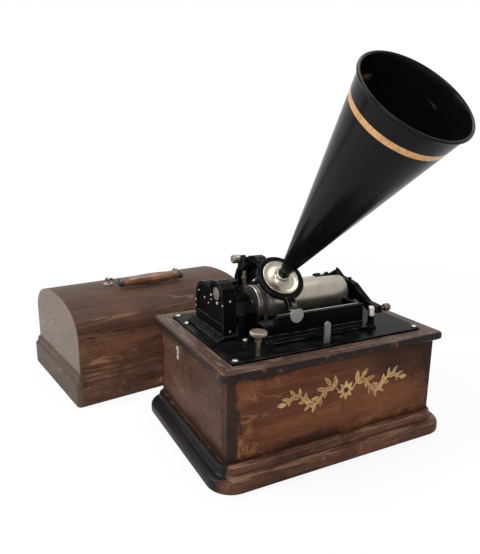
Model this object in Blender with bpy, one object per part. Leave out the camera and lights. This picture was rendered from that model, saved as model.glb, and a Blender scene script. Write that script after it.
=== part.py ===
"""Cylinder phonograph: an oak case with a spring motor, a mandrel driven by belt, a feed
screw that carries the reproducer and its horn, a swinging end gate, and the arched lid,
which stands beside the case.

Metres, +Z up. X runs along the mandrel, Y to the back. The origin is the centre of the
case's underside. Each moving piece has its origin, or its parent empty, on its joint.
"""

import math

import bmesh
import bpy
from mathutils import Matrix, Vector

# Fits
SEAT = 0.0003
RUNNING = 0.0004
OVERRUN = 0.003
WELD = 0.0000001

# Case: four walls on a moulded base, with a moulded top frame
CASE_WIDTH = 0.286
CASE_DEPTH = 0.200
CASE_WALL = 0.010
CASE_TOP = 0.123
BASE_HEIGHT = 0.026
BASE_OVERHANG = 0.0192
BASE_CORNER = 0.012
BASE_BAND = 0.0150
BASE_STEP = 0.0080
BASE_REBATE = 0.010
BASE_LEDGE = 0.012
BOTTOM_THICKNESS = 0.006
TOP_HEIGHT = 0.009
TOP_OVERHANG = 0.0087
TOP_CORNER = 0.008
TOP_NOSE = 0.0035

# Bedplate, which sits in the top frame
BED_SIDE_INSET = 0.0115
BED_END_INSET = 0.0105
BED_WIDTH = CASE_WIDTH - BED_SIDE_INSET * 2
BED_DEPTH = CASE_DEPTH - BED_END_INSET * 2
BED_THICKNESS = 0.0040
BED_PROUD = 0.0025
BED_CORNER = 0.006
BED_LEDGE = 0.006
BED_SCREW_INSET = 0.0060
BED_SCREW_HEAD = 0.0036
BED_SCREW_DOME = 0.0016
BED_SCREW_SHANK = 0.0016

# Mandrel line: shaft, taper, belt pulley and gear on one axis
MANDREL_Y = 0.005
MANDREL_Z = 0.166
MANDREL_LEFT = -0.0440
MANDREL_RIGHT = 0.0740
MANDREL_RADIUS_LEFT = 0.0220
MANDREL_RADIUS_RIGHT = 0.0208
MANDREL_LIP = 0.0012
MANDREL_RECESS = 0.004
MANDREL_WALL = 0.0022
MANDREL_HUB = 0.008
SHAFT_RADIUS = 0.0035
SHAFT_POINT = 0.0020
PULLEY_RADIUS = 0.0195
PULLEY_RIM = 0.0020
PULLEY_LEFT = -0.0558
PULLEY_RIGHT = -0.0443
PULLEY_RIM_WIDTH = 0.0025
FLANGE_THICKNESS = 0.0040
FLANGE_DISH = 0.0012

# Gear train at the left end
GEAR_MODULE = 0.0010
MANDREL_TEETH = 26
IDLER_TEETH = 16
FEED_TEETH = 26
SPACING_TEETH = 10
GEAR_THICKNESS = 0.005
GEAR_HUB_RADIUS = 0.005
GEAR_HUB_LENGTH = 0.0015
STUD_RADIUS = 0.0022

# Feed screw and back rod
FEED_Z = 0.166
FEED_RADIUS = 0.0045
FEED_THREAD_LEFT = -0.062
BACK_ROD_Y = 0.0525
BACK_ROD_Z = 0.172
BACK_ROD_RADIUS = 0.0040

# Gear housing with two humps
HOUSING_LEFT = -0.112
HOUSING_RIGHT = -0.0953
HOUSING_FRONT = -0.026
HOUSING_BACK = 0.055
HOUSING_RIM = 0.0032
HOUSING_TOP = 0.2015
HOUSING_COVER = 0.0022
HOUSING_POCKET = 0.0095
HOUSING_SILL_Z = 0.153
HOUSING_POCKET_FLOOR = 0.139
HOUSING_FOOT = 0.0095
HOUSING_FOOT_RISE = 0.006

# Bearing pedestal beside the housing
PEDESTAL_RIGHT = -0.0658
PEDESTAL_FRONT = -0.024
PEDESTAL_BACK = 0.060
PEDESTAL_CROWN = 0.0125
PEDESTAL_SHOULDER = 0.0165
PEDESTAL_BLOCK_WIDTH = 0.008
PEDESTAL_BLOCK_HEIGHT = 0.006
PEDESTAL_BLOCK_DEPTH = 0.014

# Upper casting round the mandrel
TRAY_RIGHT = 0.066
TRAY_FRONT = -0.0556
TRAY_BACK = 0.0330
TRAY_WALL = 0.0045
TRAY_TOP = 0.1650
TRAY_BACK_TOP = 0.140
TRAY_HOLLOW = 0.0245
TRAY_RAISED_LEFT = -0.0610
TRAY_LIP_TOP = 0.1555
TRAY_ROUND = 0.006
TRAY_FLANGE = 0.0115
TRAY_FLANGE_HEIGHT = 0.0038
TRAY_LEFT_REACH = 0.014
EDGE_WIDTH = 0.0022
EDGE_HEIGHT = 0.0014

# Right-hand bracket of the feed screw and back rod
BRACKET_LEFT = 0.0680
BRACKET_WIDTH = 0.0075
BRACKET_MARGIN = 0.0060

# End gate, its hinge post, latch post and thumbscrew
GATE_LEFT = 0.0790
GATE_WIDTH = 0.0080
GATE_HINGE_Y = 0.0460
GATE_HINGE_RADIUS = 0.0062
GATE_KNUCKLE_LOW = 0.160
GATE_KNUCKLE_HIGH = 0.178
GATE_PIN_RADIUS = 0.0030
GATE_PIN_RISE = 0.003
GATE_FRONT = -0.0665
GATE_LOW = 0.1520
GATE_HIGH = 0.1900
GATE_BALL = 0.0022
CENTRE_RADIUS = 0.0050
CENTRE_HEAD = 0.0070
CENTRE_HEAD_LENGTH = 0.0025
LATCH_X = 0.0745
LATCH_Y = -0.0610
LATCH_RADIUS = 0.0028
LATCH_COLLAR = 0.0038
LATCH_COLLAR_HEIGHT = 0.0060
LATCH_TOP = 0.1620
LATCH_BASE_RADIUS = 0.0072
LATCH_BASE_HEIGHT = 0.0080
LATCH_SCREW_RADIUS = 0.0020
LATCH_SCREW_REACH = 0.0065
LATCH_KNOB_RADIUS = 0.0048
LATCH_KNOB_LENGTH = 0.0085

# Carriage: sleeve on the back rod, arm with its ring, feed nut, knob
RING_X = -0.0372
RING_Y = -0.0250
RING_Z = 0.2010
HORN_AZIMUTH = math.radians(3.3)
HORN_ELEVATION = math.radians(46.4)
RING_INNER = 0.0236
RING_OUTER = 0.0300
RING_THICKNESS = 0.0070
RING_ROUND = 0.0015
SLEEVE_LEFT = -0.0645
SLEEVE_RIGHT = -0.0200
SLEEVE_RADIUS = 0.0072
SLEEVE_COLLAR = 0.0100
SLEEVE_COLLAR_WIDTH = 0.0045
HUB_WALL = 0.0032
ARM_LEFT = -0.0580
ARM_WIDTH = 0.0120
ARCH_REACH = 0.0600
ARCH_RISE = 0.0490
ARCH_THICKNESS = 0.0085
ARCH_WEB = 0.0024
NECK_WIDTH = 0.0110
NECK_THICKNESS = 0.0070
NECK_DROP = 0.0165
UPRIGHT_WIDTH = 0.0060
UPRIGHT_DEPTH = 0.0150
UPRIGHT_Y = 0.0340
UPRIGHT_TOP = 0.2200
KNOB_RADIUS = 0.0055
KNOB_LENGTH = 0.0115
KNOB_Z = 0.2155
KNOB_SPINDLE = 0.0016
NUT_WIDTH = 0.0088
NUT_DEPTH = 0.0100
NUT_HEIGHT = 0.0080
NUT_STEM = 0.0026
NUT_COLLAR = 0.0042
NUT_COLLAR_HEIGHT = 0.0030

# Reproducer, in the ring
PLATE_RADIUS = 0.0233
PLATE_RIM = 0.0020
PLATE_RISE = 0.0030
PLATE_BACK = 0.0035
COLLAR_RADIUS = 0.0080
COLLAR_RISE = 0.0060
BODY_RADIUS = 0.0226
BODY_DEPTH = 0.0080
BODY_WEB = 0.0030
WEIGHT_WIDTH = 0.0190
WEIGHT_LENGTH = 0.0320
WEIGHT_THICKNESS = 0.0034
WEIGHT_CLEARANCE = 0.0016
WEIGHT_LUG = 0.0040
STYLUS_RADIUS = 0.0010
STYLUS_LENGTH = 0.0016

# Horn and its neck
HORN_LENGTH = 0.251
HORN_MOUTH = 0.0538
HORN_END = 0.0072
HORN_WALL = 0.0010
HORN_BEAD = 0.0018
HORN_START = 0.0180
NECK_TUBE_RADIUS = 0.0058
NECK_TUBE_BORE = 0.0042
NECK_TUBE_GRIP = 0.0080

# Lift lever with its round thumb plate
LEVER_PLATE_RADIUS = 0.0088
LEVER_PLATE_THICKNESS = 0.0022
LEVER_DROP = 0.0120
LEVER_LEAN = 0.0028
LEVER_BAR_WIDTH = 0.0050
LEVER_BAR_THICKNESS = 0.0020
LEVER_PIVOT_Z = 0.1770
LEVER_PIVOT_RADIUS = 0.0019
LEVER_SCREW_HEAD = 0.0030
LEVER_SCREW_DOME = 0.0012
LEVER_TAB = 0.0060

# Controls on the bedplate
SPEED_X = -0.0960
SPEED_Y = -0.0795
SPEED_HEAD_RADIUS = 0.0096
SPEED_HEAD_HEIGHT = 0.0060
SPEED_TOP = 0.1620
SPEED_NECK = 0.0055
SPEED_NECK_HEIGHT = 0.0060
SPEED_SHAFT = 0.0028
SPEED_REACH = 0.0260
START_X = -0.0065
START_Y = -0.0810
START_WIDTH = 0.0080
START_THICKNESS = 0.0020
START_TOP = 0.1600
START_PIVOT_Z = 0.1100
START_TAIL = 0.0070
START_STUD = 0.0022
START_SWING = math.radians(8)

# Belt, round the mandrel's pulley and the motor's
BELT_WIDTH = 0.0050
BELT_THICKNESS = 0.0012
BELT_SLOT_MARGIN = 0.0030

# Motor under the bedplate
FRAME_LEFT = -0.0700
FRAME_RIGHT = 0.0600
FRAME_PLATE = 0.0050
FRAME_DEPTH = 0.1240
FRAME_LOW = 0.0220
FRAME_TIE_RADIUS = 0.0040
FRAME_TIE_Z = 0.0300
FRAME_MID_X = -0.0420
FRAME_MID_DEPTH = 0.0300
FRAME_MID_LOW = 0.0560
FRAME_ARM = 0.0120
MOTOR_PULLEY_Z = 0.0800
MOTOR_PULLEY_RADIUS = 0.0195
MOTOR_SHAFT = 0.0025
MOTOR_PINION_TEETH = 12
BARREL_Y = 0.0260
BARREL_Z = 0.0620
BARREL_RADIUS = 0.0340
BARREL_LEFT = -0.0290
BARREL_RIGHT = 0.0490
BARREL_GEAR_THICKNESS = 0.0040
BARREL_NECK = 0.0030
ARBOR_RADIUS = 0.0040
WINDING_GEAR_X = 0.0525
WINDING_GEAR_THICKNESS = 0.0050
WINDING_GEAR_TEETH = 36
CRANK_PINION_TEETH = 16
GOVERNOR_Y = -0.0440
GOVERNOR_Z = 0.0950
GOVERNOR_SHAFT = 0.0020
GOVERNOR_DISC = 0.0130
GOVERNOR_DISC_THICKNESS = 0.0030
GOVERNOR_DISC_X = -0.0320
GOVERNOR_HUB = 0.0050
GOVERNOR_SPAN = 0.0500
WEIGHT_BALL = 0.0050
WEIGHT_ORBIT = 0.0120
WEIGHT_COUNT = 3
LEAF_WIDTH = 0.0040
LEAF_THICKNESS = 0.0008

# Crank on the right side
CRANK_Z = 0.0700
CRANK_SHAFT = 0.0045
CRANK_ARM_X = 0.1690
CRANK_ARM_THICKNESS = 0.0060
CRANK_ARM_WIDTH = 0.0120
CRANK_ARM_LENGTH = 0.0560
CRANK_PIN = 0.0026
GRIP_LENGTH = 0.0560
GRIP_RADIUS = 0.0098
GRIP_WAIST = 0.0070

# Lid, standing behind the case at its left
LID_X = -0.2495
LID_Y = 0.1450
LID_YAW = math.radians(8)
LID_LENGTH = 0.3000
LID_DEPTH = 0.2070
LID_HEIGHT = 0.1402
LID_BAND = 0.0350
LID_BAND_LEDGE = 0.0450
LID_OVERHANG = 0.0075
LID_CORNER = 0.0060
LID_REBATE = 0.0080
LID_LEDGE = 0.0090
LID_WALL = 0.0080
LID_SIDE = 0.0900
LID_ROUNDNESS = 2.3
LID_EYE_SPREAD = 0.1180
LID_EYE_RADIUS = 0.0042
LID_EYE_RISE = 0.0085
LID_EYE_THICKNESS = 0.0030
BAIL_WIRE = 0.0019
BAIL_REACH = 0.0300
BAIL_TUCK = 0.0040
LID_GRIP_LENGTH = 0.0960
LID_GRIP_RADIUS = 0.0088
LID_GRIP_END = 0.0058
FERRULE_LENGTH = 0.0050
FERRULE_RADIUS = 0.0068

# The carriage arm's side shape, as shares of its reach forward of the back rod and its rise
# above it: the centre line of the arched rib, and the lower edge of the web under it
ARCH_SHARES = [(0.017, 0.122), (0.042, 0.327), (0.117, 0.500), (0.233, 0.653), (0.350, 0.771)]
ARCH_SHARES += [(0.492, 0.873), (0.672, 0.959), (0.825, 0.996), (0.933, 0.986), (0.995, 0.935)]
WEB_SHARES = [(0.967, 0.816), (0.875, 0.592), (0.775, 0.494), (0.625, 0.439), (0.475, 0.337)]
WEB_SHARES += [(0.342, 0.224), (0.208, 0.194), (0.108, 0.163)]

# Facet counts
ROUND_LARGE = 36
ROUND_MEDIUM = 20
ROUND_SMALL = 12
CORNER_STEPS = 4
BAIL_FACETS = 10
ARC_STEPS = 12

# Worked-out places
BED_TOP = CASE_TOP + TOP_HEIGHT + BED_PROUD
BED_LOW = BED_TOP - BED_THICKNESS
STAND = BED_TOP + SEAT
GEAR_X = HOUSING_LEFT + HOUSING_COVER + (HOUSING_POCKET - GEAR_THICKNESS) / 2
GEAR_SPACING = GEAR_MODULE * (MANDREL_TEETH + FEED_TEETH + SPACING_TEETH) / 2
FEED_Y = MANDREL_Y + GEAR_SPACING
WINDING_SPACING = GEAR_MODULE * (WINDING_GEAR_TEETH + CRANK_PINION_TEETH) / 2
CRANK_Y = BARREL_Y - math.sqrt(WINDING_SPACING**2 - (CRANK_Z - BARREL_Z) ** 2)
RING_CENTRE = Vector((RING_X, RING_Y, RING_Z))
HORN_AXIS = Vector(
    (
        math.cos(HORN_ELEVATION) * math.sin(HORN_AZIMUTH),
        -math.cos(HORN_ELEVATION) * math.cos(HORN_AZIMUTH),
        math.sin(HORN_ELEVATION),
    )
)

OAK = ("oak", (0.16, 0.065, 0.03), 0.45, 0.0)
OAK_DARK = ("oak_dark", (0.10, 0.04, 0.02), 0.45, 0.0)
JAPAN = ("black_japan", (0.01, 0.01, 0.012), 0.25, 0.0)
NICKEL = ("nickel", (0.62, 0.58, 0.52), 0.28, 1.0)
STEEL = ("steel", (0.45, 0.45, 0.46), 0.35, 1.0)
BRASS = ("brass", (0.62, 0.47, 0.24), 0.35, 1.0)
IRON = ("cast_iron", (0.05, 0.05, 0.055), 0.55, 0.6)
LEATHER = ("belt_leather", (0.07, 0.035, 0.02), 0.7, 0.0)
HORN_BLACK = ("horn_black", (0.008, 0.008, 0.010), 0.15, 0.0)
TURNED_WOOD = ("turned_wood", (0.30, 0.12, 0.045), 0.35, 0.0)


def clear_scene():
    for item in list(bpy.data.objects):
        bpy.data.objects.remove(item, do_unlink=True)


def material(spec):
    name, colour, roughness, metallic = spec
    found = bpy.data.materials.get(name)
    if found:
        return found
    made = bpy.data.materials.new(name)
    made.use_nodes = True
    shader = made.node_tree.nodes["Principled BSDF"]
    shader.inputs["Base Color"].default_value = (*colour, 1)
    shader.inputs["Roughness"].default_value = roughness
    shader.inputs["Metallic"].default_value = metallic
    return made


def empty(name, location, rotation=(0, 0, 0)):
    made = bpy.data.objects.new(name, None)
    made.location = location
    made.rotation_euler = rotation
    bpy.context.scene.collection.objects.link(made)
    return made


def outward(made):
    """The same closed shape with its faces turned outwards."""
    bmesh.ops.recalc_face_normals(made, faces=made.faces)
    return made


def piece(name, mesh_builder, finish, location=(0, 0, 0), rotation=(0, 0, 0), parent=None):
    """An object whose mesh is the given bmesh, with doubled points made one."""
    bmesh.ops.remove_doubles(mesh_builder, verts=mesh_builder.verts, dist=WELD)
    bmesh.ops.dissolve_degenerate(mesh_builder, edges=mesh_builder.edges, dist=WELD)
    mesh = bpy.data.meshes.new(name)
    mesh_builder.to_mesh(mesh)
    mesh_builder.free()
    mesh.shade_smooth()
    mesh.set_sharp_from_angle(angle=math.radians(35))
    made = bpy.data.objects.new(name, mesh)
    made.location = location
    made.rotation_euler = rotation
    made.parent = parent
    if finish:
        mesh.materials.append(material(finish))
    bpy.context.scene.collection.objects.link(made)
    return made


def combine(target, helper, operation):
    helper.hide_render = True
    helper.display_type = "WIRE"
    step = target.modifiers.new(helper.name, "BOOLEAN")
    step.operation = operation
    step.solver = "EXACT"
    step.object = helper


def cut(target, *helpers):
    for helper in helpers:
        combine(target, helper, "DIFFERENCE")


def add(target, *helpers):
    for helper in helpers:
        combine(target, helper, "UNION")


def arc(centre, radius, start, end, steps):
    """Points on a circle from one angle to another, both ends included."""
    return [
        (
            centre[0] + radius * math.cos(start + (end - start) * k / steps),
            centre[1] + radius * math.sin(start + (end - start) * k / steps),
        )
        for k in range(steps + 1)
    ]


def rounded_rectangle(half_x, half_y, radius, steps=CORNER_STEPS):
    points = []
    for quarter, (side_x, side_y) in enumerate(((1, 1), (-1, 1), (-1, -1), (1, -1))):
        centre = (side_x * (half_x - radius), side_y * (half_y - radius))
        start = quarter * math.pi / 2
        points += arc(centre, radius, start, start + math.pi / 2, steps)
    return points


def box(low, high):
    """A block between two corners."""
    made = bmesh.new()
    size = Vector(high) - Vector(low)
    middle = (Vector(high) + Vector(low)) / 2
    bmesh.ops.create_cube(made, size=1)
    bmesh.ops.scale(made, vec=size, verts=made.verts)
    bmesh.ops.translate(made, vec=middle, verts=made.verts)
    return made


def prism(outline, low, high, axis="z"):
    """A flat outline carried along one axis. Along x it holds (y, z), along y (x, z)."""
    made = bmesh.new()
    place = {
        "x": lambda a, b, t: (t, a, b),
        "y": lambda a, b, t: (a, t, b),
        "z": lambda a, b, t: (a, b, t),
    }[axis]
    lower = [made.verts.new(place(a, b, low)) for a, b in outline]
    upper = [made.verts.new(place(a, b, high)) for a, b in outline]
    made.faces.new(lower)
    made.faces.new(upper)
    for k in range(len(outline)):
        n = (k + 1) % len(outline)
        made.faces.new((lower[k], lower[n], upper[n], upper[k]))
    return outward(made)


def turned(profile, steps=ROUND_MEDIUM):
    """A profile of (distance along Z, radius) turned round Z. One whose ends are off the
    axis closes on itself and leaves a bore."""
    made = bmesh.new()
    points = [made.verts.new((radius, 0, along)) for along, radius in profile]
    edges = [made.edges.new(pair) for pair in zip(points, points[1:])]
    if profile[0][1] > 0:
        edges.append(made.edges.new((points[-1], points[0])))
    bmesh.ops.spin(
        made,
        geom=points + edges,
        cent=(0, 0, 0),
        axis=(0, 0, 1),
        angle=math.tau,
        steps=steps,
        use_merge=True,
    )
    return outward(made)


def rod(radius, low, high, steps=ROUND_SMALL):
    return turned([(low, 0), (low, radius), (high, radius), (high, 0)], steps)


def pipe(inner, outer, low, high, steps=ROUND_MEDIUM):
    return turned([(low, inner), (low, outer), (high, outer), (high, inner)], steps)


def moulding(profile, half_x, half_y, corner):
    """A closed profile of (outset, height) carried round a rectangle. The corner radius
    grows and shrinks with the outset."""
    reach = max(outset for outset, height in profile)
    made = bmesh.new()
    rings = []
    for outset, height in profile:
        radius = max(corner + outset - reach, SEAT)
        ring = rounded_rectangle(half_x + outset, half_y + outset, radius)
        rings.append([made.verts.new((x, y, height)) for x, y in ring])
    for ring, following in zip(rings, rings[1:] + rings[:1]):
        for k in range(len(ring)):
            n = (k + 1) % len(ring)
            made.faces.new((ring[k], ring[n], following[n], following[k]))
    return outward(made)


def band(centreline, thickness):
    """The outline of a strip of even thickness along a line of (a, b) points."""
    left, right = [], []
    for k, point in enumerate(centreline):
        before = Vector(centreline[max(k - 1, 0)])
        after = Vector(centreline[min(k + 1, len(centreline) - 1)])
        along = (after - before).normalized()
        across = Vector((-along.y, along.x)) * thickness / 2
        left.append(tuple(Vector(point) + across))
        right.append(tuple(Vector(point) - across))
    return left + right[::-1]


def gear(teeth, thickness, bore, hub_radius=0, hub_length=0):
    """A spur gear round Z. Its pitch radius is half its module times its teeth, and its
    teeth stop short of the pitch circle, so that neighbours run clear."""
    pitch = GEAR_MODULE * teeth / 2
    tip = pitch - RUNNING / 2
    root = pitch - 1.4 * GEAR_MODULE
    outline = []
    tooth_shares = ((-0.26, root), (-0.14, tip), (0.14, tip), (0.26, root))
    for tooth in range(teeth):
        for share, radius in tooth_shares:
            angle = math.tau * (tooth + share) / teeth
            outline.append((radius * math.cos(angle), radius * math.sin(angle)))
    made = prism(outline, 0, thickness)
    wheel = piece("gear_blank", made, None)
    if hub_length:
        add(wheel, piece("gear_hub", rod(hub_radius, -hub_length, thickness + hub_length), None))
    cutter = rod(bore, -OVERRUN, thickness + OVERRUN, ROUND_SMALL)
    cut(wheel, piece("gear_bore", cutter, None))
    return settle(wheel)


def settle(source):
    """The evaluated mesh of a helper and its modifiers, as a bmesh. The helpers go."""
    graph = bpy.context.evaluated_depsgraph_get()
    made = bmesh.new()
    made.from_object(source, graph)
    helpers = [step.object for step in source.modifiers if step.type == "BOOLEAN"]
    for helper in [source, *helpers]:
        bpy.data.objects.remove(helper, do_unlink=True)
    return made


def merged(shape, *others):
    """Several shapes joined into one closed body, one after another."""
    for other in others:
        target = piece("shape", shape, None)
        add(target, piece("joined", other, None))
        shape = settle(target)
    return shape


def carved(shape, *cutters):
    """One shape with others cut out of it, one after another."""
    for cutter in cutters:
        target = piece("shape", shape, None)
        cut(target, piece("cutter", cutter, None))
        shape = settle(target)
    return shape


def moved(shape, *matrices):
    for matrix in matrices:
        bmesh.ops.transform(shape, matrix=matrix, verts=shape.verts)
    return shape


def shift(x, y, z):
    return Matrix.Translation((x, y, z))


def wire(route, radius, facets):
    """A round wire along a line of (x, y) points in the XY plane, closed at both ends."""
    made = bmesh.new()
    rings = []
    for k, point in enumerate(route):
        before = Vector(route[max(k - 1, 0)])
        after = Vector(route[min(k + 1, len(route) - 1)])
        along = (after - before).normalized()
        side = Vector((-along.y, along.x))
        ring = []
        for facet in range(facets):
            angle = math.tau * facet / facets
            out = side * math.cos(angle) * radius
            at = (point[0] + out.x, point[1] + out.y, math.sin(angle) * radius)
            ring.append(made.verts.new(at))
        rings.append(ring)
    for ring, following in zip(rings, rings[1:]):
        for k in range(facets):
            n = (k + 1) % facets
            made.faces.new((ring[k], ring[n], following[n], following[k]))
    made.faces.new(rings[0])
    made.faces.new(rings[-1])
    return outward(made)


ALONG_X = Matrix.Rotation(math.radians(90), 4, "Y")
ALONG_Y = Matrix.Rotation(math.radians(-90), 4, "X")
TURN_X = (0, math.radians(90), 0)


def make_case():
    half_x = CASE_WIDTH / 2
    half_y = CASE_DEPTH / 2
    band_round = BASE_BAND * 0.45
    base_profile = [(-BASE_LEDGE, 0), (BASE_OVERHANG - band_round / 3, 0)]
    base_profile += [(BASE_OVERHANG, band_round / 3)]
    base_profile += arc(
        (BASE_OVERHANG - band_round, BASE_BAND - band_round), band_round, 0, math.pi / 2, 4
    )
    cove = BASE_HEIGHT - BASE_BAND
    base_profile += [(BASE_STEP + cove / 4, BASE_BAND), (BASE_STEP, BASE_BAND + cove / 4)]
    base_profile += [(BASE_STEP, BASE_HEIGHT - cove / 5), (BASE_STEP - cove / 5, BASE_HEIGHT)]
    base_profile += [(SEAT, BASE_HEIGHT), (SEAT, BASE_REBATE), (-BASE_LEDGE, BASE_REBATE)]
    piece("base_moulding", moulding(base_profile, half_x, half_y, BASE_CORNER), OAK_DARK)

    inside_x = half_x - BASE_LEDGE - SEAT
    inside_y = half_y - BASE_LEDGE - SEAT
    bottom = prism(rounded_rectangle(inside_x, inside_y, SEAT), 0, BOTTOM_THICKNESS)
    piece("bottom_board", bottom, OAK)

    low = BASE_REBATE + SEAT
    high = CASE_TOP - SEAT
    wall_y = half_y - CASE_WALL
    piece("case_front", box((-half_x, -half_y, low), (half_x, -wall_y, high)), OAK)
    piece("case_back", box((-half_x, wall_y, low), (half_x, half_y, high)), OAK)
    side_y = wall_y - SEAT
    inner = half_x - CASE_WALL
    piece("case_left", box((-half_x, -side_y, low), (-inner, side_y, high)), OAK)
    right = piece("case_right", box((inner, -side_y, low), (half_x, side_y, high)), OAK)
    hole = moved(rod(CRANK_SHAFT + RUNNING, -OVERRUN, CASE_WALL + OVERRUN), ALONG_X)
    hole = moved(hole, shift(inner, CRANK_Y, CRANK_Z))
    cut(right, piece("crank_hole", hole, None))

    nose = TOP_NOSE
    ledge_out = BED_WIDTH / 2 - half_x + SEAT
    top_low = CASE_TOP
    top_high = CASE_TOP + TOP_HEIGHT
    rebate = BED_LOW - SEAT
    top_profile = [(ledge_out - BED_LEDGE, top_low), (TOP_OVERHANG - nose / 2, top_low)]
    top_profile += [(TOP_OVERHANG, top_low + nose / 2)]
    top_profile += arc((TOP_OVERHANG - nose, top_high - nose), nose, 0, math.pi / 2, 3)
    top_profile += [(ledge_out, top_high), (ledge_out, rebate), (ledge_out - BED_LEDGE, rebate)]
    frame_y = BED_DEPTH / 2 + half_x - BED_WIDTH / 2
    piece("top_moulding", moulding(top_profile, half_x, frame_y, TOP_CORNER), OAK)


def bed_screw_places():
    x = BED_WIDTH / 2 - BED_SCREW_INSET
    y = BED_DEPTH / 2 - BED_SCREW_INSET
    return [(x, y), (-x, y), (-x, -y), (x, -y)]


def make_bedplate():
    outline = rounded_rectangle(BED_WIDTH / 2, BED_DEPTH / 2, BED_CORNER)
    plate = piece("bedplate", prism(outline, BED_LOW, BED_TOP), JAPAN)
    low = BED_LOW - OVERRUN
    high = BED_TOP + OVERRUN
    half_belt = BELT_WIDTH / 2 + BELT_SLOT_MARGIN
    belt_x = (PULLEY_LEFT + PULLEY_RIGHT) / 2
    reach = PULLEY_RADIUS + BELT_THICKNESS + BELT_SLOT_MARGIN
    slot = rounded_rectangle(half_belt, reach, half_belt / 2)
    slot = moved(prism(slot, low, high), shift(belt_x, MANDREL_Y, 0))
    swing = (BED_TOP - START_PIVOT_Z) * math.tan(START_SWING * 1.3)
    half_slot = START_WIDTH / 2 + swing + SEAT
    lever_slot = box((-half_slot, -START_THICKNESS, low), (half_slot, START_THICKNESS, high))
    lever_slot = moved(lever_slot, shift(START_X, START_Y, 0))
    speed_hole = moved(rod(SPEED_SHAFT + RUNNING, low, high), shift(SPEED_X, SPEED_Y, 0))
    cutters = [slot, lever_slot, speed_hole]
    for x, y in bed_screw_places():
        cutters.append(moved(rod(BED_SCREW_SHANK + SEAT, low, high, 8), shift(x, y, 0)))
    for number, cutter in enumerate(cutters):
        cut(plate, piece(f"bed_cut_{number}", cutter, None))

    head = BED_SCREW_HEAD
    top = STAND + BED_SCREW_DOME
    profile = [(BED_LOW, 0), (BED_LOW, BED_SCREW_SHANK), (STAND, BED_SCREW_SHANK)]
    profile += [(STAND, head), (STAND + BED_SCREW_DOME / 2, head), (top, head * 0.6), (top, 0)]
    corners = ("back_right", "back_left", "front_left", "front_right")
    for corner, (x, y) in zip(corners, bed_screw_places()):
        piece(f"bedplate_screw_{corner}", turned(profile, ROUND_SMALL), NICKEL, (x, y, 0))


def housing_outline(inset):
    """Two humps over straight sides, drawn as (y, z) and moved in by the inset."""
    outline_shares = (
        (0.000, 0.000), (0.000, 0.648), (0.019, 0.783), (0.068, 0.895), (0.154, 0.975),
        (0.265, 1.000), (0.364, 0.978), (0.438, 0.925), (0.481, 0.865), (0.525, 0.832),
        (0.574, 0.832), (0.636, 0.858), (0.722, 0.868), (0.815, 0.850), (0.907, 0.783),
        (0.975, 0.678), (1.000, 0.543), (1.000, 0.000),
    )
    front = HOUSING_FRONT + inset
    depth = HOUSING_BACK - inset - front
    height = HOUSING_TOP - inset - STAND
    return [(front + depth * a, STAND + height * b) for a, b in outline_shares]


def above(outline, level):
    """The part of a housing outline above a level: its two lowest points move up."""
    return [(outline[0][0], level), *outline[1:-1], (outline[-1][0], level)]


def make_housing():
    body = prism(housing_outline(0), HOUSING_LEFT, HOUSING_RIGHT, "x")
    front = HOUSING_FRONT - HOUSING_FOOT / 2
    back = HOUSING_BACK + HOUSING_FOOT / 2
    rise = STAND + HOUSING_FOOT_RISE
    left = HOUSING_LEFT - HOUSING_FOOT
    foot_side = [(left, STAND), (HOUSING_RIGHT, STAND), (HOUSING_RIGHT, rise)]
    foot_side += [(HOUSING_LEFT - SEAT, rise), (left, STAND + HOUSING_FOOT_RISE / 3)]
    foot = prism(foot_side, front, back, "y")
    pocket_left = HOUSING_LEFT + HOUSING_COVER
    pocket_right = pocket_left + HOUSING_POCKET
    inner = housing_outline(HOUSING_RIM)
    pocket = prism(above(inner, HOUSING_POCKET_FLOOR), pocket_left, pocket_right, "x")
    window_left = HOUSING_LEFT - OVERRUN
    opening = housing_outline(HOUSING_RIM + SEAT)
    window = prism(above(opening, HOUSING_SILL_Z), window_left, pocket_left + SEAT * 2, "x")
    body = merged(body, foot)
    reach = OVERRUN
    holes = [pocket, window]
    for y, z, radius in ((MANDREL_Y, MANDREL_Z, SHAFT_RADIUS), (FEED_Y, FEED_Z, SHAFT_RADIUS)):
        bore = moved(rod(radius + RUNNING, pocket_right - reach, HOUSING_RIGHT + reach), ALONG_X)
        holes.append(moved(bore, shift(0, y, z)))
    made = carved(body, *holes)
    idler_y, idler_z = idler_place()
    stud_end = GEAR_X - GEAR_HUB_LENGTH
    stud = moved(rod(STUD_RADIUS, stud_end, pocket_right + SEAT), ALONG_X)
    made = merged(made, moved(stud, shift(0, idler_y, idler_z)))
    piece("gear_housing", made, JAPAN)


def idler_place():
    """The idler sits below the two gears, clear of both by the running gap."""
    reach = GEAR_MODULE * (MANDREL_TEETH + IDLER_TEETH) / 2
    half = (FEED_Y - MANDREL_Y) / 2
    return MANDREL_Y + half, MANDREL_Z - math.sqrt(reach * reach - half * half)


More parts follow.
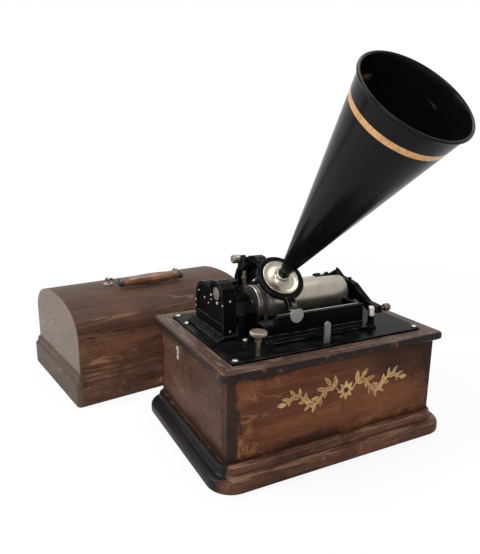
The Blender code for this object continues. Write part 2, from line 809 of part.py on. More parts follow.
def make_pedestal():
    left = HOUSING_RIGHT + SEAT
    crown = arc((MANDREL_Y, MANDREL_Z), PEDESTAL_CROWN, math.radians(150), math.radians(52), 8)
    shoulder = MANDREL_Z + PEDESTAL_SHOULDER
    outline = [(PEDESTAL_FRONT, STAND), (PEDESTAL_FRONT, crown[0][1] - PEDESTAL_SHOULDER / 2)]
    half_d = PEDESTAL_BLOCK_DEPTH / 2
    outline += crown + [(FEED_Y - half_d, shoulder), (PEDESTAL_BACK, shoulder), (PEDESTAL_BACK, STAND)]
    body = prism(outline, left, PEDESTAL_RIGHT, "x")
    column = rod((PEDESTAL_RIGHT - left) / 6, STAND, crown[0][1] - PEDESTAL_SHOULDER / 2)
    column = moved(column, shift(left + (PEDESTAL_RIGHT - left) / 4, PEDESTAL_FRONT, 0))
    block = box(
        (PEDESTAL_RIGHT - PEDESTAL_BLOCK_WIDTH, FEED_Y - half_d, shoulder - SEAT * 4),
        (PEDESTAL_RIGHT, FEED_Y + half_d, shoulder + PEDESTAL_BLOCK_HEIGHT),
    )
    body = merged(body, column, block)
    bores = []
    for y, z, radius in (
        (MANDREL_Y, MANDREL_Z, SHAFT_RADIUS + RUNNING),
        (FEED_Y, FEED_Z, SHAFT_RADIUS + RUNNING),
        (BACK_ROD_Y, BACK_ROD_Z, BACK_ROD_RADIUS + SEAT),
    ):
        bore = moved(rod(radius, left - OVERRUN, PEDESTAL_RIGHT + OVERRUN), ALONG_X)
        bores.append(moved(bore, shift(0, y, z)))
    piece("mandrel_bearing", carved(body, *bores), JAPAN)


def tray_front_outline():
    """The front wall as (x, z): a low lip at the left, then the raised wall."""
    corner = arc(
        (TRAY_RAISED_LEFT + TRAY_ROUND, TRAY_TOP - TRAY_ROUND),
        TRAY_ROUND,
        math.pi,
        math.pi / 2,
        5,
    )
    left = TRAY_RAISED_LEFT - TRAY_LEFT_REACH
    points = [(left, STAND), (left, TRAY_LIP_TOP), (TRAY_RAISED_LEFT, TRAY_LIP_TOP)]
    return points + corner + [(TRAY_RIGHT, TRAY_TOP), (TRAY_RIGHT, STAND)]


def make_tray():
    front_in = TRAY_FRONT + TRAY_WALL
    front = prism(tray_front_outline(), TRAY_FRONT, front_in, "y")
    left = TRAY_RAISED_LEFT - TRAY_LEFT_REACH
    right_in = TRAY_RIGHT - TRAY_WALL
    high = TRAY_TOP - SEAT * 3
    hollow = arc((MANDREL_Y, MANDREL_Z), TRAY_HOLLOW, math.pi * 1.03, math.pi * 1.5, 6)
    side = [(front_in - SEAT, STAND), (front_in - SEAT, high), (hollow[0][0], high), *hollow]
    side += [(TRAY_BACK, hollow[-1][1]), (TRAY_BACK, STAND)]
    side = prism(side, right_in, TRAY_RIGHT, "x")
    back_in = TRAY_BACK - TRAY_WALL
    back = box(
        (TRAY_RAISED_LEFT, back_in, STAND), (TRAY_RIGHT - SEAT, TRAY_BACK - SEAT, TRAY_BACK_TOP)
    )
    lip = front_in - SEAT
    flange = TRAY_FRONT - TRAY_FLANGE
    high = STAND + TRAY_FLANGE_HEIGHT
    apron = [(flange, STAND), (lip, STAND), (lip, high + TRAY_WALL), (TRAY_FRONT - SEAT, high + TRAY_WALL)]
    apron += [(TRAY_FRONT - TRAY_WALL / 2, high), (flange, high)]
    foot = prism(apron, left + SEAT, TRAY_RIGHT - SEAT * 2, "x")
    piece("upper_casting", merged(front, side, back, foot), JAPAN)

    edge_low = TRAY_TOP - EDGE_HEIGHT
    start = TRAY_RAISED_LEFT + TRAY_ROUND
    edge = box(
        (start, front_in + SEAT, edge_low), (right_in - SEAT, front_in + EDGE_WIDTH, TRAY_TOP)
    )
    piece("straight_edge", edge, NICKEL)


def make_right_bracket():
    right = BRACKET_LEFT + BRACKET_WIDTH
    low_y = FEED_Y - BRACKET_MARGIN
    high_y = BACK_ROD_Y + BRACKET_MARGIN * 1.2
    top = arc((BACK_ROD_Y, BACK_ROD_Z), BRACKET_MARGIN * 1.2, 0, math.pi * 0.6, 6)
    outline = [(low_y, STAND), (high_y, STAND), *top]
    outline += arc((FEED_Y, FEED_Z), BRACKET_MARGIN, math.pi * 0.6, math.pi, 5)
    body = prism(outline, BRACKET_LEFT, right, "x")
    foot_out = BRACKET_MARGIN
    foot = box(
        (BRACKET_LEFT - SEAT * 3, low_y - foot_out, STAND),
        (right + SEAT, high_y, STAND + BRACKET_WIDTH / 2),
    )
    bores = []
    for y, z, radius in (
        (FEED_Y, FEED_Z, SHAFT_RADIUS + RUNNING),
        (BACK_ROD_Y, BACK_ROD_Z, BACK_ROD_RADIUS + SEAT),
    ):
        bore = moved(rod(radius, BRACKET_LEFT - OVERRUN, right + OVERRUN), ALONG_X)
        bores.append(moved(bore, shift(0, y, z)))
    piece("right_bracket", carved(merged(body, foot), *bores), JAPAN)
    rod_left = HOUSING_RIGHT + SEAT * 2
    back_rod = rod(BACK_ROD_RADIUS, rod_left, right + SEAT * 2)
    piece("back_rod", back_rod, NICKEL, (0, BACK_ROD_Y, BACK_ROD_Z), TURN_X)


def make_mandrel():
    spin = empty("mandrel_axis", (0, MANDREL_Y, MANDREL_Z))
    shaft_end = GATE_LEFT - SEAT
    profile = [(GEAR_X - GEAR_HUB_LENGTH - SEAT, 0), (GEAR_X - GEAR_HUB_LENGTH - SEAT, SHAFT_RADIUS)]
    profile += [(shaft_end - SHAFT_POINT, SHAFT_RADIUS), (shaft_end, SHAFT_RADIUS / 2), (shaft_end, 0)]
    piece("mandrel_shaft", turned(profile, ROUND_SMALL), STEEL, rotation=TURN_X, parent=spin)

    bore = SHAFT_RADIUS + SEAT
    left, right = MANDREL_LEFT, MANDREL_RIGHT
    wall_end = right - MANDREL_RECESS
    big, small = MANDREL_RADIUS_LEFT, MANDREL_RADIUS_RIGHT
    profile = [(left, bore), (left, big - MANDREL_LIP), (left + MANDREL_LIP, big)]
    profile += [(right - MANDREL_LIP, small), (right, small - MANDREL_LIP / 2)]
    profile += [(right, small - MANDREL_WALL), (wall_end, small - MANDREL_WALL)]
    profile += [(wall_end, MANDREL_HUB), (right - MANDREL_LIP, MANDREL_HUB), (right - MANDREL_LIP, bore)]
    piece("mandrel", turned(profile, ROUND_LARGE), NICKEL, rotation=TURN_X, parent=spin)

    drum = PULLEY_RADIUS
    rim = drum + PULLEY_RIM
    width = PULLEY_RIM_WIDTH
    left, right = PULLEY_LEFT, PULLEY_RIGHT
    profile = [(left, bore), (left, rim - SEAT), (left + width / 2, rim), (left + width, drum)]
    profile += [(right - width, drum), (right - width / 2, rim), (right, rim - SEAT), (right, bore)]
    piece("mandrel_pulley", turned(profile, ROUND_LARGE), NICKEL, rotation=TURN_X, parent=spin)

    right = PULLEY_LEFT - SEAT
    left = right - FLANGE_THICKNESS
    edge = FLANGE_DISH
    profile = [(left + edge, bore), (left + edge, MANDREL_HUB), (left, MANDREL_HUB + edge)]
    profile += [(left, rim - edge), (left + edge, rim), (right, rim), (right, bore)]
    piece("mandrel_flange", turned(profile, ROUND_LARGE), JAPAN, rotation=TURN_X, parent=spin)

    wheel = gear(MANDREL_TEETH, GEAR_THICKNESS, bore, GEAR_HUB_RADIUS, GEAR_HUB_LENGTH)
    piece("mandrel_gear", wheel, BRASS, (GEAR_X, 0, 0), TURN_X, spin)

    idler_y, idler_z = idler_place()
    spin = empty("idler_axis", (0, idler_y, idler_z))
    wheel = gear(IDLER_TEETH, GEAR_THICKNESS, STUD_RADIUS + RUNNING)
    piece("idler_gear", wheel, BRASS, (GEAR_X, 0, 0), TURN_X, spin)


def make_feed():
    spin = empty("feed_axis", (0, FEED_Y, FEED_Z))
    start = GEAR_X - GEAR_HUB_LENGTH - SEAT
    end = BRACKET_LEFT + BRACKET_WIDTH
    thread_end = BRACKET_LEFT - RUNNING
    profile = [(start, 0), (start, SHAFT_RADIUS), (FEED_THREAD_LEFT, SHAFT_RADIUS)]
    profile += [(FEED_THREAD_LEFT, FEED_RADIUS), (thread_end, FEED_RADIUS)]
    profile += [(thread_end, SHAFT_RADIUS), (end, SHAFT_RADIUS), (end, 0)]
    piece("feed_screw", turned(profile, ROUND_SMALL), STEEL, rotation=TURN_X, parent=spin)
    bore = SHAFT_RADIUS + SEAT
    wheel = gear(FEED_TEETH, GEAR_THICKNESS, bore, GEAR_HUB_RADIUS, GEAR_HUB_LENGTH)
    piece("feed_gear", wheel, BRASS, (GEAR_X, 0, 0), TURN_X, spin)


def ring_frame():
    """The frame of the ring: its Z is the horn's axis and its X lies level."""
    level = Vector((0, 0, 1)).cross(HORN_AXIS).normalized()
    upward = HORN_AXIS.cross(level)
    turn = Matrix((level, upward, HORN_AXIS)).transposed().to_4x4()
    return Matrix.Translation(RING_CENTRE) @ turn


def make_carriage():
    slide = empty("carriage_slide", (SLEEVE_LEFT, BACK_ROD_Y, BACK_ROD_Z))
    bore = BACK_ROD_RADIUS + SEAT
    length = SLEEVE_RIGHT - SLEEVE_LEFT
    collar = SLEEVE_COLLAR_WIDTH
    profile = [(0, bore), (0, SLEEVE_COLLAR), (collar, SLEEVE_COLLAR), (collar, SLEEVE_RADIUS)]
    profile += [(length - collar, SLEEVE_RADIUS), (length - collar, SLEEVE_COLLAR)]
    profile += [(length, SLEEVE_COLLAR), (length, bore)]
    piece("carriage_sleeve", turned(profile), JAPAN, rotation=TURN_X, parent=slide)

    lift = empty("carriage_lift", (ARM_LEFT, BACK_ROD_Y, BACK_ROD_Z))
    to_lift = lift.location
    arm_right = ARM_LEFT + ARM_WIDTH
    hub_bore = SLEEVE_RADIUS + SEAT
    hub_radius = hub_bore + HUB_WALL
    hub = moved(rod(hub_radius, 0, ARM_WIDTH, ROUND_MEDIUM), ALONG_X, Matrix.Translation(to_lift))
    arch_line = above_rod(ARCH_SHARES)
    arch = prism(band(arch_line, ARCH_THICKNESS), ARM_LEFT + SEAT, arm_right - SEAT, "x")
    web_outline = arch_line[2:] + above_rod(WEB_SHARES)
    web_right = arm_right - SEAT * 3
    web = prism(web_outline, web_right - ARCH_WEB, web_right, "x")
    placed = ring_frame()
    half = RING_THICKNESS / 2
    ring = turned(ring_profile(half), ROUND_LARGE)
    ring = moved(ring, placed)
    neck_reach = RING_OUTER - RING_ROUND * 2
    bottom = placed @ Vector((0, -neck_reach, 0))
    neck_line = [(bottom.y + NECK_THICKNESS / 3, bottom.z + NECK_THICKNESS / 3), (bottom.y, bottom.z)]
    low = LEVER_PIVOT_Z - NECK_THICKNESS
    neck_line += [(bottom.y - NECK_DROP / 3, bottom.z - NECK_DROP / 3)]
    neck_line += [(bottom.y - NECK_DROP / 2, low)]
    half_neck = NECK_WIDTH / 2
    neck = prism(band(neck_line, NECK_THICKNESS), RING_X - half_neck, RING_X + half_neck, "x")
    upright_left = SLEEVE_LEFT + SLEEVE_COLLAR_WIDTH + SEAT
    half_u = UPRIGHT_DEPTH / 2
    top = UPRIGHT_TOP - half_u
    upright = arc((UPRIGHT_Y, top), half_u, math.pi, 0, 6)
    upright += [(UPRIGHT_Y + half_u, BACK_ROD_Z + hub_radius * 1.6)]
    upright += [(BACK_ROD_Y, BACK_ROD_Z + hub_radius * 0.8)]
    upright += [(BACK_ROD_Y - hub_radius * 0.9, BACK_ROD_Z + hub_radius * 0.5)]
    upright += [(UPRIGHT_Y + half_u * 0.9, BACK_ROD_Z + hub_radius * 1.3)]
    upright += [(UPRIGHT_Y + half_u * 0.9, BACK_ROD_Z + hub_radius * 2.6)]
    upright += [(UPRIGHT_Y - half_u, BACK_ROD_Z + hub_radius * 3)]
    upright = prism(upright, upright_left, upright_left + UPRIGHT_WIDTH, "x")
    spindle = moved(rod(KNOB_SPINDLE + SEAT, -UPRIGHT_WIDTH, UPRIGHT_WIDTH, 12), ALONG_X)
    spindle = moved(spindle, shift(upright_left, UPRIGHT_Y, KNOB_Z))
    clear = moved(rod(hub_bore, -OVERRUN, ARM_WIDTH + OVERRUN, ROUND_MEDIUM), ALONG_X)
    clear = moved(clear, Matrix.Translation(to_lift))
    opening = moved(rod(RING_INNER, -RING_THICKNESS, RING_THICKNESS, ROUND_LARGE), placed)
    pivot = moved(rod(LEVER_PIVOT_RADIUS + SEAT, -NECK_WIDTH, NECK_WIDTH, 12), ALONG_Y)
    pivot = moved(pivot, shift(RING_X, neck_front(), LEVER_PIVOT_Z))
    arm = carved(merged(hub, arch, web, ring, neck, upright), clear, opening, spindle, pivot)
    arm = moved(arm, Matrix.Translation(-to_lift))
    piece("carriage_arm", arm, JAPAN, parent=lift)

    base = FEED_Z + FEED_RADIUS + RUNNING
    mid_x = ARM_LEFT + ARM_WIDTH * 0.35
    half_w, half_d = NUT_WIDTH / 2, NUT_DEPTH / 2
    nut_y = FEED_Y - half_d / 2
    roof = height_along(arch_line, nut_y + NUT_STEM) - ARCH_THICKNESS * 0.72
    block = box(
        (mid_x - half_w, nut_y - half_d, base), (mid_x + half_w, nut_y + half_d, base + NUT_HEIGHT)
    )
    stem = [(base + NUT_HEIGHT / 2, 0), (base + NUT_HEIGHT / 2, NUT_STEM)]
    collar_low = (base + NUT_HEIGHT + roof) / 2
    collar_high = collar_low + NUT_COLLAR_HEIGHT
    stem += [(collar_low, NUT_STEM), (collar_low, NUT_COLLAR), (collar_high, NUT_COLLAR)]
    stem += [(collar_high, NUT_STEM), (roof, NUT_STEM), (roof, 0)]
    stem = moved(turned(stem, ROUND_SMALL), shift(mid_x, nut_y, 0))
    nut = moved(merged(block, stem), Matrix.Translation(-to_lift))
    piece("feed_nut", nut, BRASS, parent=lift)

    end = upright_left - SEAT
    profile = [(-KNOB_LENGTH, 0), (-KNOB_LENGTH, KNOB_RADIUS * 0.8), (-KNOB_LENGTH * 0.85, KNOB_RADIUS)]
    profile += [(-KNOB_LENGTH * 0.2, KNOB_RADIUS), (0, KNOB_RADIUS * 0.6), (0, KNOB_SPINDLE)]
    profile += [(UPRIGHT_WIDTH / 2, KNOB_SPINDLE), (UPRIGHT_WIDTH / 2, 0)]
    place = Vector((end, UPRIGHT_Y, KNOB_Z)) - to_lift
    piece("shaver_knob", turned(profile, ROUND_SMALL), NICKEL, place, TURN_X, lift)
    return lift


def above_rod(shares):
    """Turns shares of the arch's reach and rise into (y, z) points, counted from the back rod."""
    return [(BACK_ROD_Y - ARCH_REACH * a, BACK_ROD_Z + ARCH_RISE * b) for a, b in shares]


def height_along(line, y):
    """The height of a line of (y, z) points at a given y, where y falls along the line."""
    for (y0, z0), (y1, z1) in zip(line, line[1:]):
        if y1 <= y <= y0:
            return z0 + (z1 - z0) * (y0 - y) / (y0 - y1)
    return line[-1][1]


def neck_front():
    """Where the front of the ring's neck is, at the height of the lift lever's screw."""
    bottom = ring_frame() @ Vector((0, -(RING_OUTER - RING_ROUND * 2), 0))
    return bottom.y - NECK_DROP / 2 - NECK_THICKNESS / 2


def ring_profile(half):
    inner = RING_INNER - RING_ROUND
    outer = RING_OUTER
    edge = RING_ROUND
    profile = [(-half, inner), (-half, outer - edge), (-half + edge, outer)]
    profile += [(half - edge, outer), (half, outer - edge), (half, inner)]
    return profile


def make_reproducer(lift):
    placed = ring_frame()
    local = Matrix.Translation(-lift.location) @ placed
    turn = local.to_euler()
    place = local.translation
    bore = NECK_TUBE_RADIUS + SEAT
    rim = PLATE_RADIUS
    profile = [(-PLATE_BACK, bore), (-PLATE_BACK, rim - PLATE_RIM / 2), (-PLATE_BACK + PLATE_RIM / 2, rim)]
    profile += [(PLATE_RISE - PLATE_RIM / 2, rim), (PLATE_RISE, rim - PLATE_RIM / 2)]
    profile += [(PLATE_RISE, rim - PLATE_RIM), (PLATE_RISE / 2, rim - PLATE_RIM * 1.8)]
    profile += [(PLATE_RISE, COLLAR_RADIUS * 1.3), (PLATE_RISE, COLLAR_RADIUS)]
    profile += [(PLATE_RISE + COLLAR_RISE * 0.8, COLLAR_RADIUS * 0.95)]
    profile += [(PLATE_RISE + COLLAR_RISE, COLLAR_RADIUS * 0.85), (PLATE_RISE + COLLAR_RISE, bore)]
    piece("reproducer_plate", turned(profile, ROUND_LARGE), NICKEL, place, turn, lift)

    high = -PLATE_BACK - SEAT
    low = high - BODY_DEPTH
    wide = BODY_RADIUS
    throat = NECK_TUBE_BORE
    profile = [(low, throat), (low, wide - BODY_WEB), (low + BODY_WEB, wide), (high, wide)]
    profile += [(high, wide - BODY_WEB), (low + BODY_WEB, wide - BODY_WEB * 2)]
    profile += [(low + BODY_WEB, throat)]
    body = turned(profile, ROUND_LARGE)
    hinge_y = WEIGHT_LENGTH / 2 - WEIGHT_LUG / 2
    hinge_z = low - WEIGHT_CLEARANCE - WEIGHT_THICKNESS / 2
    lug_w = WEIGHT_WIDTH / 4
    lugs = []
    for side in (-1, 1):
        start = side * (lug_w + RUNNING)
        end = side * (lug_w + RUNNING + WEIGHT_LUG)
        lugs.append(
            box(
                (min(start, end), hinge_y - WEIGHT_LUG / 2, hinge_z - WEIGHT_LUG / 2),
                (max(start, end), hinge_y + WEIGHT_LUG / 2, low + BODY_WEB / 2),
            )
        )
    piece("reproducer_body", merged(body, *lugs), NICKEL, place, turn, lift)

    half_w = WEIGHT_WIDTH / 2
    half_l = WEIGHT_LENGTH / 2
    top = low - WEIGHT_CLEARANCE
    tail = hinge_y - WEIGHT_LUG / 2 - SEAT * 2
    outline = [(-half_w, -half_l), (half_w, -half_l), (half_w * 0.8, tail), (lug_w, tail)]
    outline += [(lug_w, hinge_y + WEIGHT_LUG / 2), (-lug_w, hinge_y + WEIGHT_LUG / 2)]
    outline += [(-lug_w, tail), (-half_w * 0.8, tail)]
    plate = prism(outline, top - WEIGHT_THICKNESS, top)
    tip_low = top - WEIGHT_THICKNESS - STYLUS_LENGTH
    tip = turned(
        [
            (tip_low, 0),
            (tip_low + STYLUS_RADIUS / 2, STYLUS_RADIUS),
            (top - SEAT, STYLUS_RADIUS),
            (top - SEAT, 0),
        ],
        12,
    )
    weight = moved(merged(plate, tip), shift(0, -hinge_y, -hinge_z))
    hinge = (local @ Vector((0, hinge_y, hinge_z, 1))).to_3d()
    piece("stylus_weight", weight, BRASS, hinge, turn, lift)

    low = -PLATE_BACK + SEAT
    high = HORN_START + NECK_TUBE_GRIP
    tube = pipe(NECK_TUBE_BORE, NECK_TUBE_RADIUS, low, high, ROUND_MEDIUM)
    piece("horn_neck", tube, JAPAN, place, turn, lift)

    end = HORN_START + HORN_LENGTH
    mouth = HORN_MOUTH
    profile = [(HORN_START, HORN_END - HORN_WALL), (HORN_START, HORN_END)]
    bead = arc((end, mouth), HORN_BEAD, math.radians(200), math.radians(-90), 8)
    profile += bead + [(end - HORN_BEAD, mouth - HORN_WALL)]
    piece("horn", turned(profile, ROUND_LARGE), HORN_BLACK, place, turn, lift)


def make_lift_lever(lift):
    front = neck_front()
    pivot = Vector((RING_X, front - SEAT, LEVER_PIVOT_Z)) - lift.location
    bar_half = LEVER_BAR_WIDTH / 2
    bar = [(LEVER_LEAN - bar_half, -LEVER_DROP), (LEVER_LEAN + bar_half, -LEVER_DROP)]
    bar += arc((0, 0), bar_half * 1.3, 0, math.pi, 6)
    bar = prism(bar, -LEVER_BAR_THICKNESS, 0, "y")
    tab = prism(
        [(-LEVER_TAB, -LEVER_DROP / 2), (0, -LEVER_DROP / 2), (0, 0), (-LEVER_TAB, -bar_half)],
        -LEVER_BAR_THICKNESS + SEAT,
        -SEAT,
        "y",
    )
    disc_back = -LEVER_BAR_THICKNESS + SEAT
    disc = rod(LEVER_PLATE_RADIUS, disc_back - LEVER_PLATE_THICKNESS, disc_back, ROUND_MEDIUM)
    disc = moved(disc, ALONG_Y, shift(LEVER_LEAN, 0, -LEVER_DROP))
    hole = moved(rod(LEVER_PIVOT_RADIUS + RUNNING, -OVERRUN, OVERRUN, 12), ALONG_Y)
    lever = carved(merged(bar, tab, disc), hole)
    piece("lift_lever", lever, NICKEL, pivot, parent=lift)
    head = LEVER_BAR_THICKNESS + SEAT * 2
    top = head + LEVER_SCREW_DOME
    profile = [(-NECK_THICKNESS / 2, 0), (-NECK_THICKNESS / 2, LEVER_PIVOT_RADIUS)]
    profile += [(head, LEVER_PIVOT_RADIUS)]
    profile += [(head, LEVER_SCREW_HEAD), (top, LEVER_SCREW_HEAD * 0.7), (top, 0)]
    turn = (math.radians(90), 0, 0)
    screw = turned(profile, ROUND_SMALL)
    piece("lift_screw", screw, NICKEL, pivot, turn, lift)


def make_controls():
    top = SPEED_TOP - BED_TOP
    head_low = top - SPEED_HEAD_HEIGHT
    neck_low = head_low - SPEED_NECK_HEIGHT
    radius = SPEED_HEAD_RADIUS
    profile = [(-SPEED_REACH, 0), (-SPEED_REACH, SPEED_SHAFT), (neck_low, SPEED_SHAFT)]
    profile += [(neck_low, SPEED_SHAFT * 1.3), (head_low, SPEED_NECK)]
    profile += [(head_low, radius * 0.94), (head_low + SPEED_HEAD_HEIGHT / 5, radius)]
    profile += [(top - SPEED_HEAD_HEIGHT / 5, radius), (top, radius * 0.92), (top, 0)]
    screw = turned(profile, ROUND_MEDIUM)
    piece("speed_screw", screw, BRASS, (SPEED_X, SPEED_Y, BED_TOP))

    half = START_WIDTH / 2
    high = START_TOP - START_PIVOT_Z
    strip = [(-half, -START_TAIL), (half, -START_TAIL), *arc((0, high - half), half, 0, math.pi, 8)]
    strip = prism(strip, -START_THICKNESS / 2, START_THICKNESS / 2, "y")
    hole = moved(rod(START_STUD + RUNNING, -OVERRUN, OVERRUN, 12), ALONG_Y)
    piece("start_lever", carved(strip, hole), STEEL, (START_X, START_Y, START_PIVOT_Z))


def make_gate():
    hinge = empty("gate_hinge", (GATE_LEFT + GATE_WIDTH / 2, GATE_HINGE_Y, GATE_KNUCKLE_LOW))
    to_hinge = hinge.location
    span = GATE_HINGE_Y - GATE_FRONT
    rise = GATE_HIGH - GATE_LOW
    outline_shares = (
        (0.01, 0.63), (0.12, 0.84), (0.21, 1.00), (0.31, 0.83), (0.46, 0.79), (0.57, 0.73),
        (0.67, 0.55), (0.82, 0.30), (0.99, 0.27), (1.00, 0.04), (0.84, 0.00), (0.72, 0.15),
        (0.59, 0.24), (0.50, 0.06), (0.36, 0.03), (0.26, 0.12), (0.18, 0.33), (0.01, 0.33),
    )
    outline = [(GATE_HINGE_Y - span * a, GATE_LOW + rise * b) for a, b in outline_shares]
    arm = prism(outline, GATE_LEFT, GATE_LEFT + GATE_WIDTH, "x")
    knuckle = rod(GATE_HINGE_RADIUS, GATE_KNUCKLE_LOW, GATE_KNUCKLE_HIGH, ROUND_MEDIUM)
    knuckle = moved(knuckle, shift(to_hinge.x, to_hinge.y, 0))
    ball = bmesh.new()
    bmesh.ops.create_uvsphere(ball, u_segments=10, v_segments=6, radius=GATE_BALL)
    peak_y = GATE_HINGE_Y - span * outline_shares[2][0]
    ball = moved(ball, shift(to_hinge.x, peak_y, GATE_HIGH + GATE_BALL / 3))
    cup = rod(GATE_BALL, 0, GATE_BALL * 2, 10)
    cup_y = GATE_HINGE_Y - span * outline_shares[4][0]
    cup = moved(cup, shift(to_hinge.x, cup_y, GATE_LOW + rise * outline_shares[4][1] - GATE_BALL / 2))
    bore = rod(GATE_PIN_RADIUS + RUNNING, GATE_KNUCKLE_LOW - OVERRUN, GATE_KNUCKLE_HIGH + OVERRUN)
    bore = moved(bore, shift(to_hinge.x, to_hinge.y, 0))
    eye = moved(rod(CENTRE_RADIUS + SEAT, -OVERRUN, GATE_WIDTH + OVERRUN), ALONG_X)
    eye = moved(eye, shift(GATE_LEFT, MANDREL_Y, MANDREL_Z))
    latch_z = latch_height()
    latch = moved(rod(LATCH_SCREW_RADIUS + RUNNING, -OVERRUN, GATE_WIDTH + OVERRUN, 12), ALONG_X)
    latch = moved(latch, shift(GATE_LEFT, LATCH_Y, latch_z))
    gate = carved(merged(arm, knuckle, ball, cup), bore, eye, latch)
    gate = moved(gate, Matrix.Translation(-to_hinge))
    piece("end_gate", gate, JAPAN, parent=hinge)

    end = GATE_WIDTH + CENTRE_HEAD_LENGTH
    profile = [(0, 0), (0, CENTRE_RADIUS), (GATE_WIDTH + SEAT, CENTRE_RADIUS)]
    profile += [(GATE_WIDTH + SEAT, CENTRE_HEAD), (end, CENTRE_HEAD * 0.8), (end, 0)]
    place = Vector((GATE_LEFT, MANDREL_Y, MANDREL_Z)) - to_hinge
    piece("gate_centre", turned(profile, ROUND_SMALL), NICKEL, place, TURN_X, hinge)

    start = LATCH_X + LATCH_COLLAR + SEAT - GATE_LEFT
    knob = GATE_WIDTH + SEAT
    knob_end = knob + LATCH_SCREW_REACH
    far = knob_end + LATCH_KNOB_LENGTH
    radius = LATCH_KNOB_RADIUS
    profile = [(start, 0), (start, LATCH_SCREW_RADIUS), (knob, LATCH_SCREW_RADIUS)]
    profile += [(knob, radius * 0.7), (knob + SEAT * 5, radius * 0.7), (knob + SEAT * 5, LATCH_SCREW_RADIUS)]
    profile += [(knob_end, LATCH_SCREW_RADIUS), (knob_end, radius * 0.8), (knob_end + SEAT * 4, radius)]
    profile += [(far - SEAT * 4, radius), (far, radius * 0.8), (far, 0)]
    place = Vector((GATE_LEFT, LATCH_Y, latch_z)) - to_hinge
    piece("latch_thumbscrew", turned(profile, ROUND_SMALL), NICKEL, place, TURN_X, hinge)

    post_top = GATE_KNUCKLE_LOW - SEAT
    wide = GATE_HINGE_RADIUS
    pin_top = GATE_KNUCKLE_HIGH + GATE_PIN_RISE
    profile = [(STAND, 0), (STAND, wide * 1.1), (STAND + wide / 2, wide * 1.1), (STAND + wide, wide)]
    profile += [(post_top, wide), (post_top, GATE_PIN_RADIUS), (pin_top, GATE_PIN_RADIUS), (pin_top, 0)]
    place = (to_hinge.x, to_hinge.y, 0)
    piece("gate_hinge_post", turned(profile, ROUND_SMALL), JAPAN, place)

    profile = [(STAND, 0), (STAND, LATCH_BASE_RADIUS)]
    profile += [(STAND + LATCH_BASE_HEIGHT / 3, LATCH_BASE_RADIUS * 0.9)]
    base_top = STAND + LATCH_BASE_HEIGHT
    profile += [(base_top, LATCH_COLLAR), (base_top, LATCH_RADIUS)]
    collar_low = LATCH_TOP - LATCH_COLLAR_HEIGHT * 1.6
    collar_high = LATCH_TOP - SEAT * 2
    profile += [(collar_low, LATCH_RADIUS), (collar_low, LATCH_COLLAR), (collar_high, LATCH_COLLAR)]
    profile += [(LATCH_TOP, LATCH_COLLAR * 0.8), (LATCH_TOP, 0)]
    piece("latch_post", turned(profile, ROUND_SMALL), NICKEL, (LATCH_X, LATCH_Y, 0))


def latch_height():
    return GATE_LOW + (GATE_HIGH - GATE_LOW) * 0.15


def stadium(centre_low, centre_high, radius, steps):
    """A loop round two equal circles, one above the other, as (y, z)."""
    return arc(centre_high, radius, 0, math.pi, steps) + arc(
        centre_low, radius, math.pi, math.tau, steps
    )


def make_belt():
    middle = (PULLEY_LEFT + PULLEY_RIGHT) / 2
    high = (MANDREL_Y, MANDREL_Z)
    low = (MANDREL_Y, MOTOR_PULLEY_Z)
    inner = max(PULLEY_RADIUS, MOTOR_PULLEY_RADIUS) + SEAT
    made = bmesh.new()
    loops = []
    for radius, x in (
        (inner, middle - BELT_WIDTH / 2),
        (inner + BELT_THICKNESS, middle - BELT_WIDTH / 2),
        (inner + BELT_THICKNESS, middle + BELT_WIDTH / 2),
        (inner, middle + BELT_WIDTH / 2),
    ):
        outline = stadium(low, high, radius, ARC_STEPS)
        loops.append([made.verts.new((x, y, z)) for y, z in outline])
    for loop, following in zip(loops, loops[1:] + loops[:1]):
        for k in range(len(loop)):
            n = (k + 1) % len(loop)
            made.faces.new((loop[k], loop[n], following[n], following[k]))
    piece("drive_belt", outward(made), LEATHER)


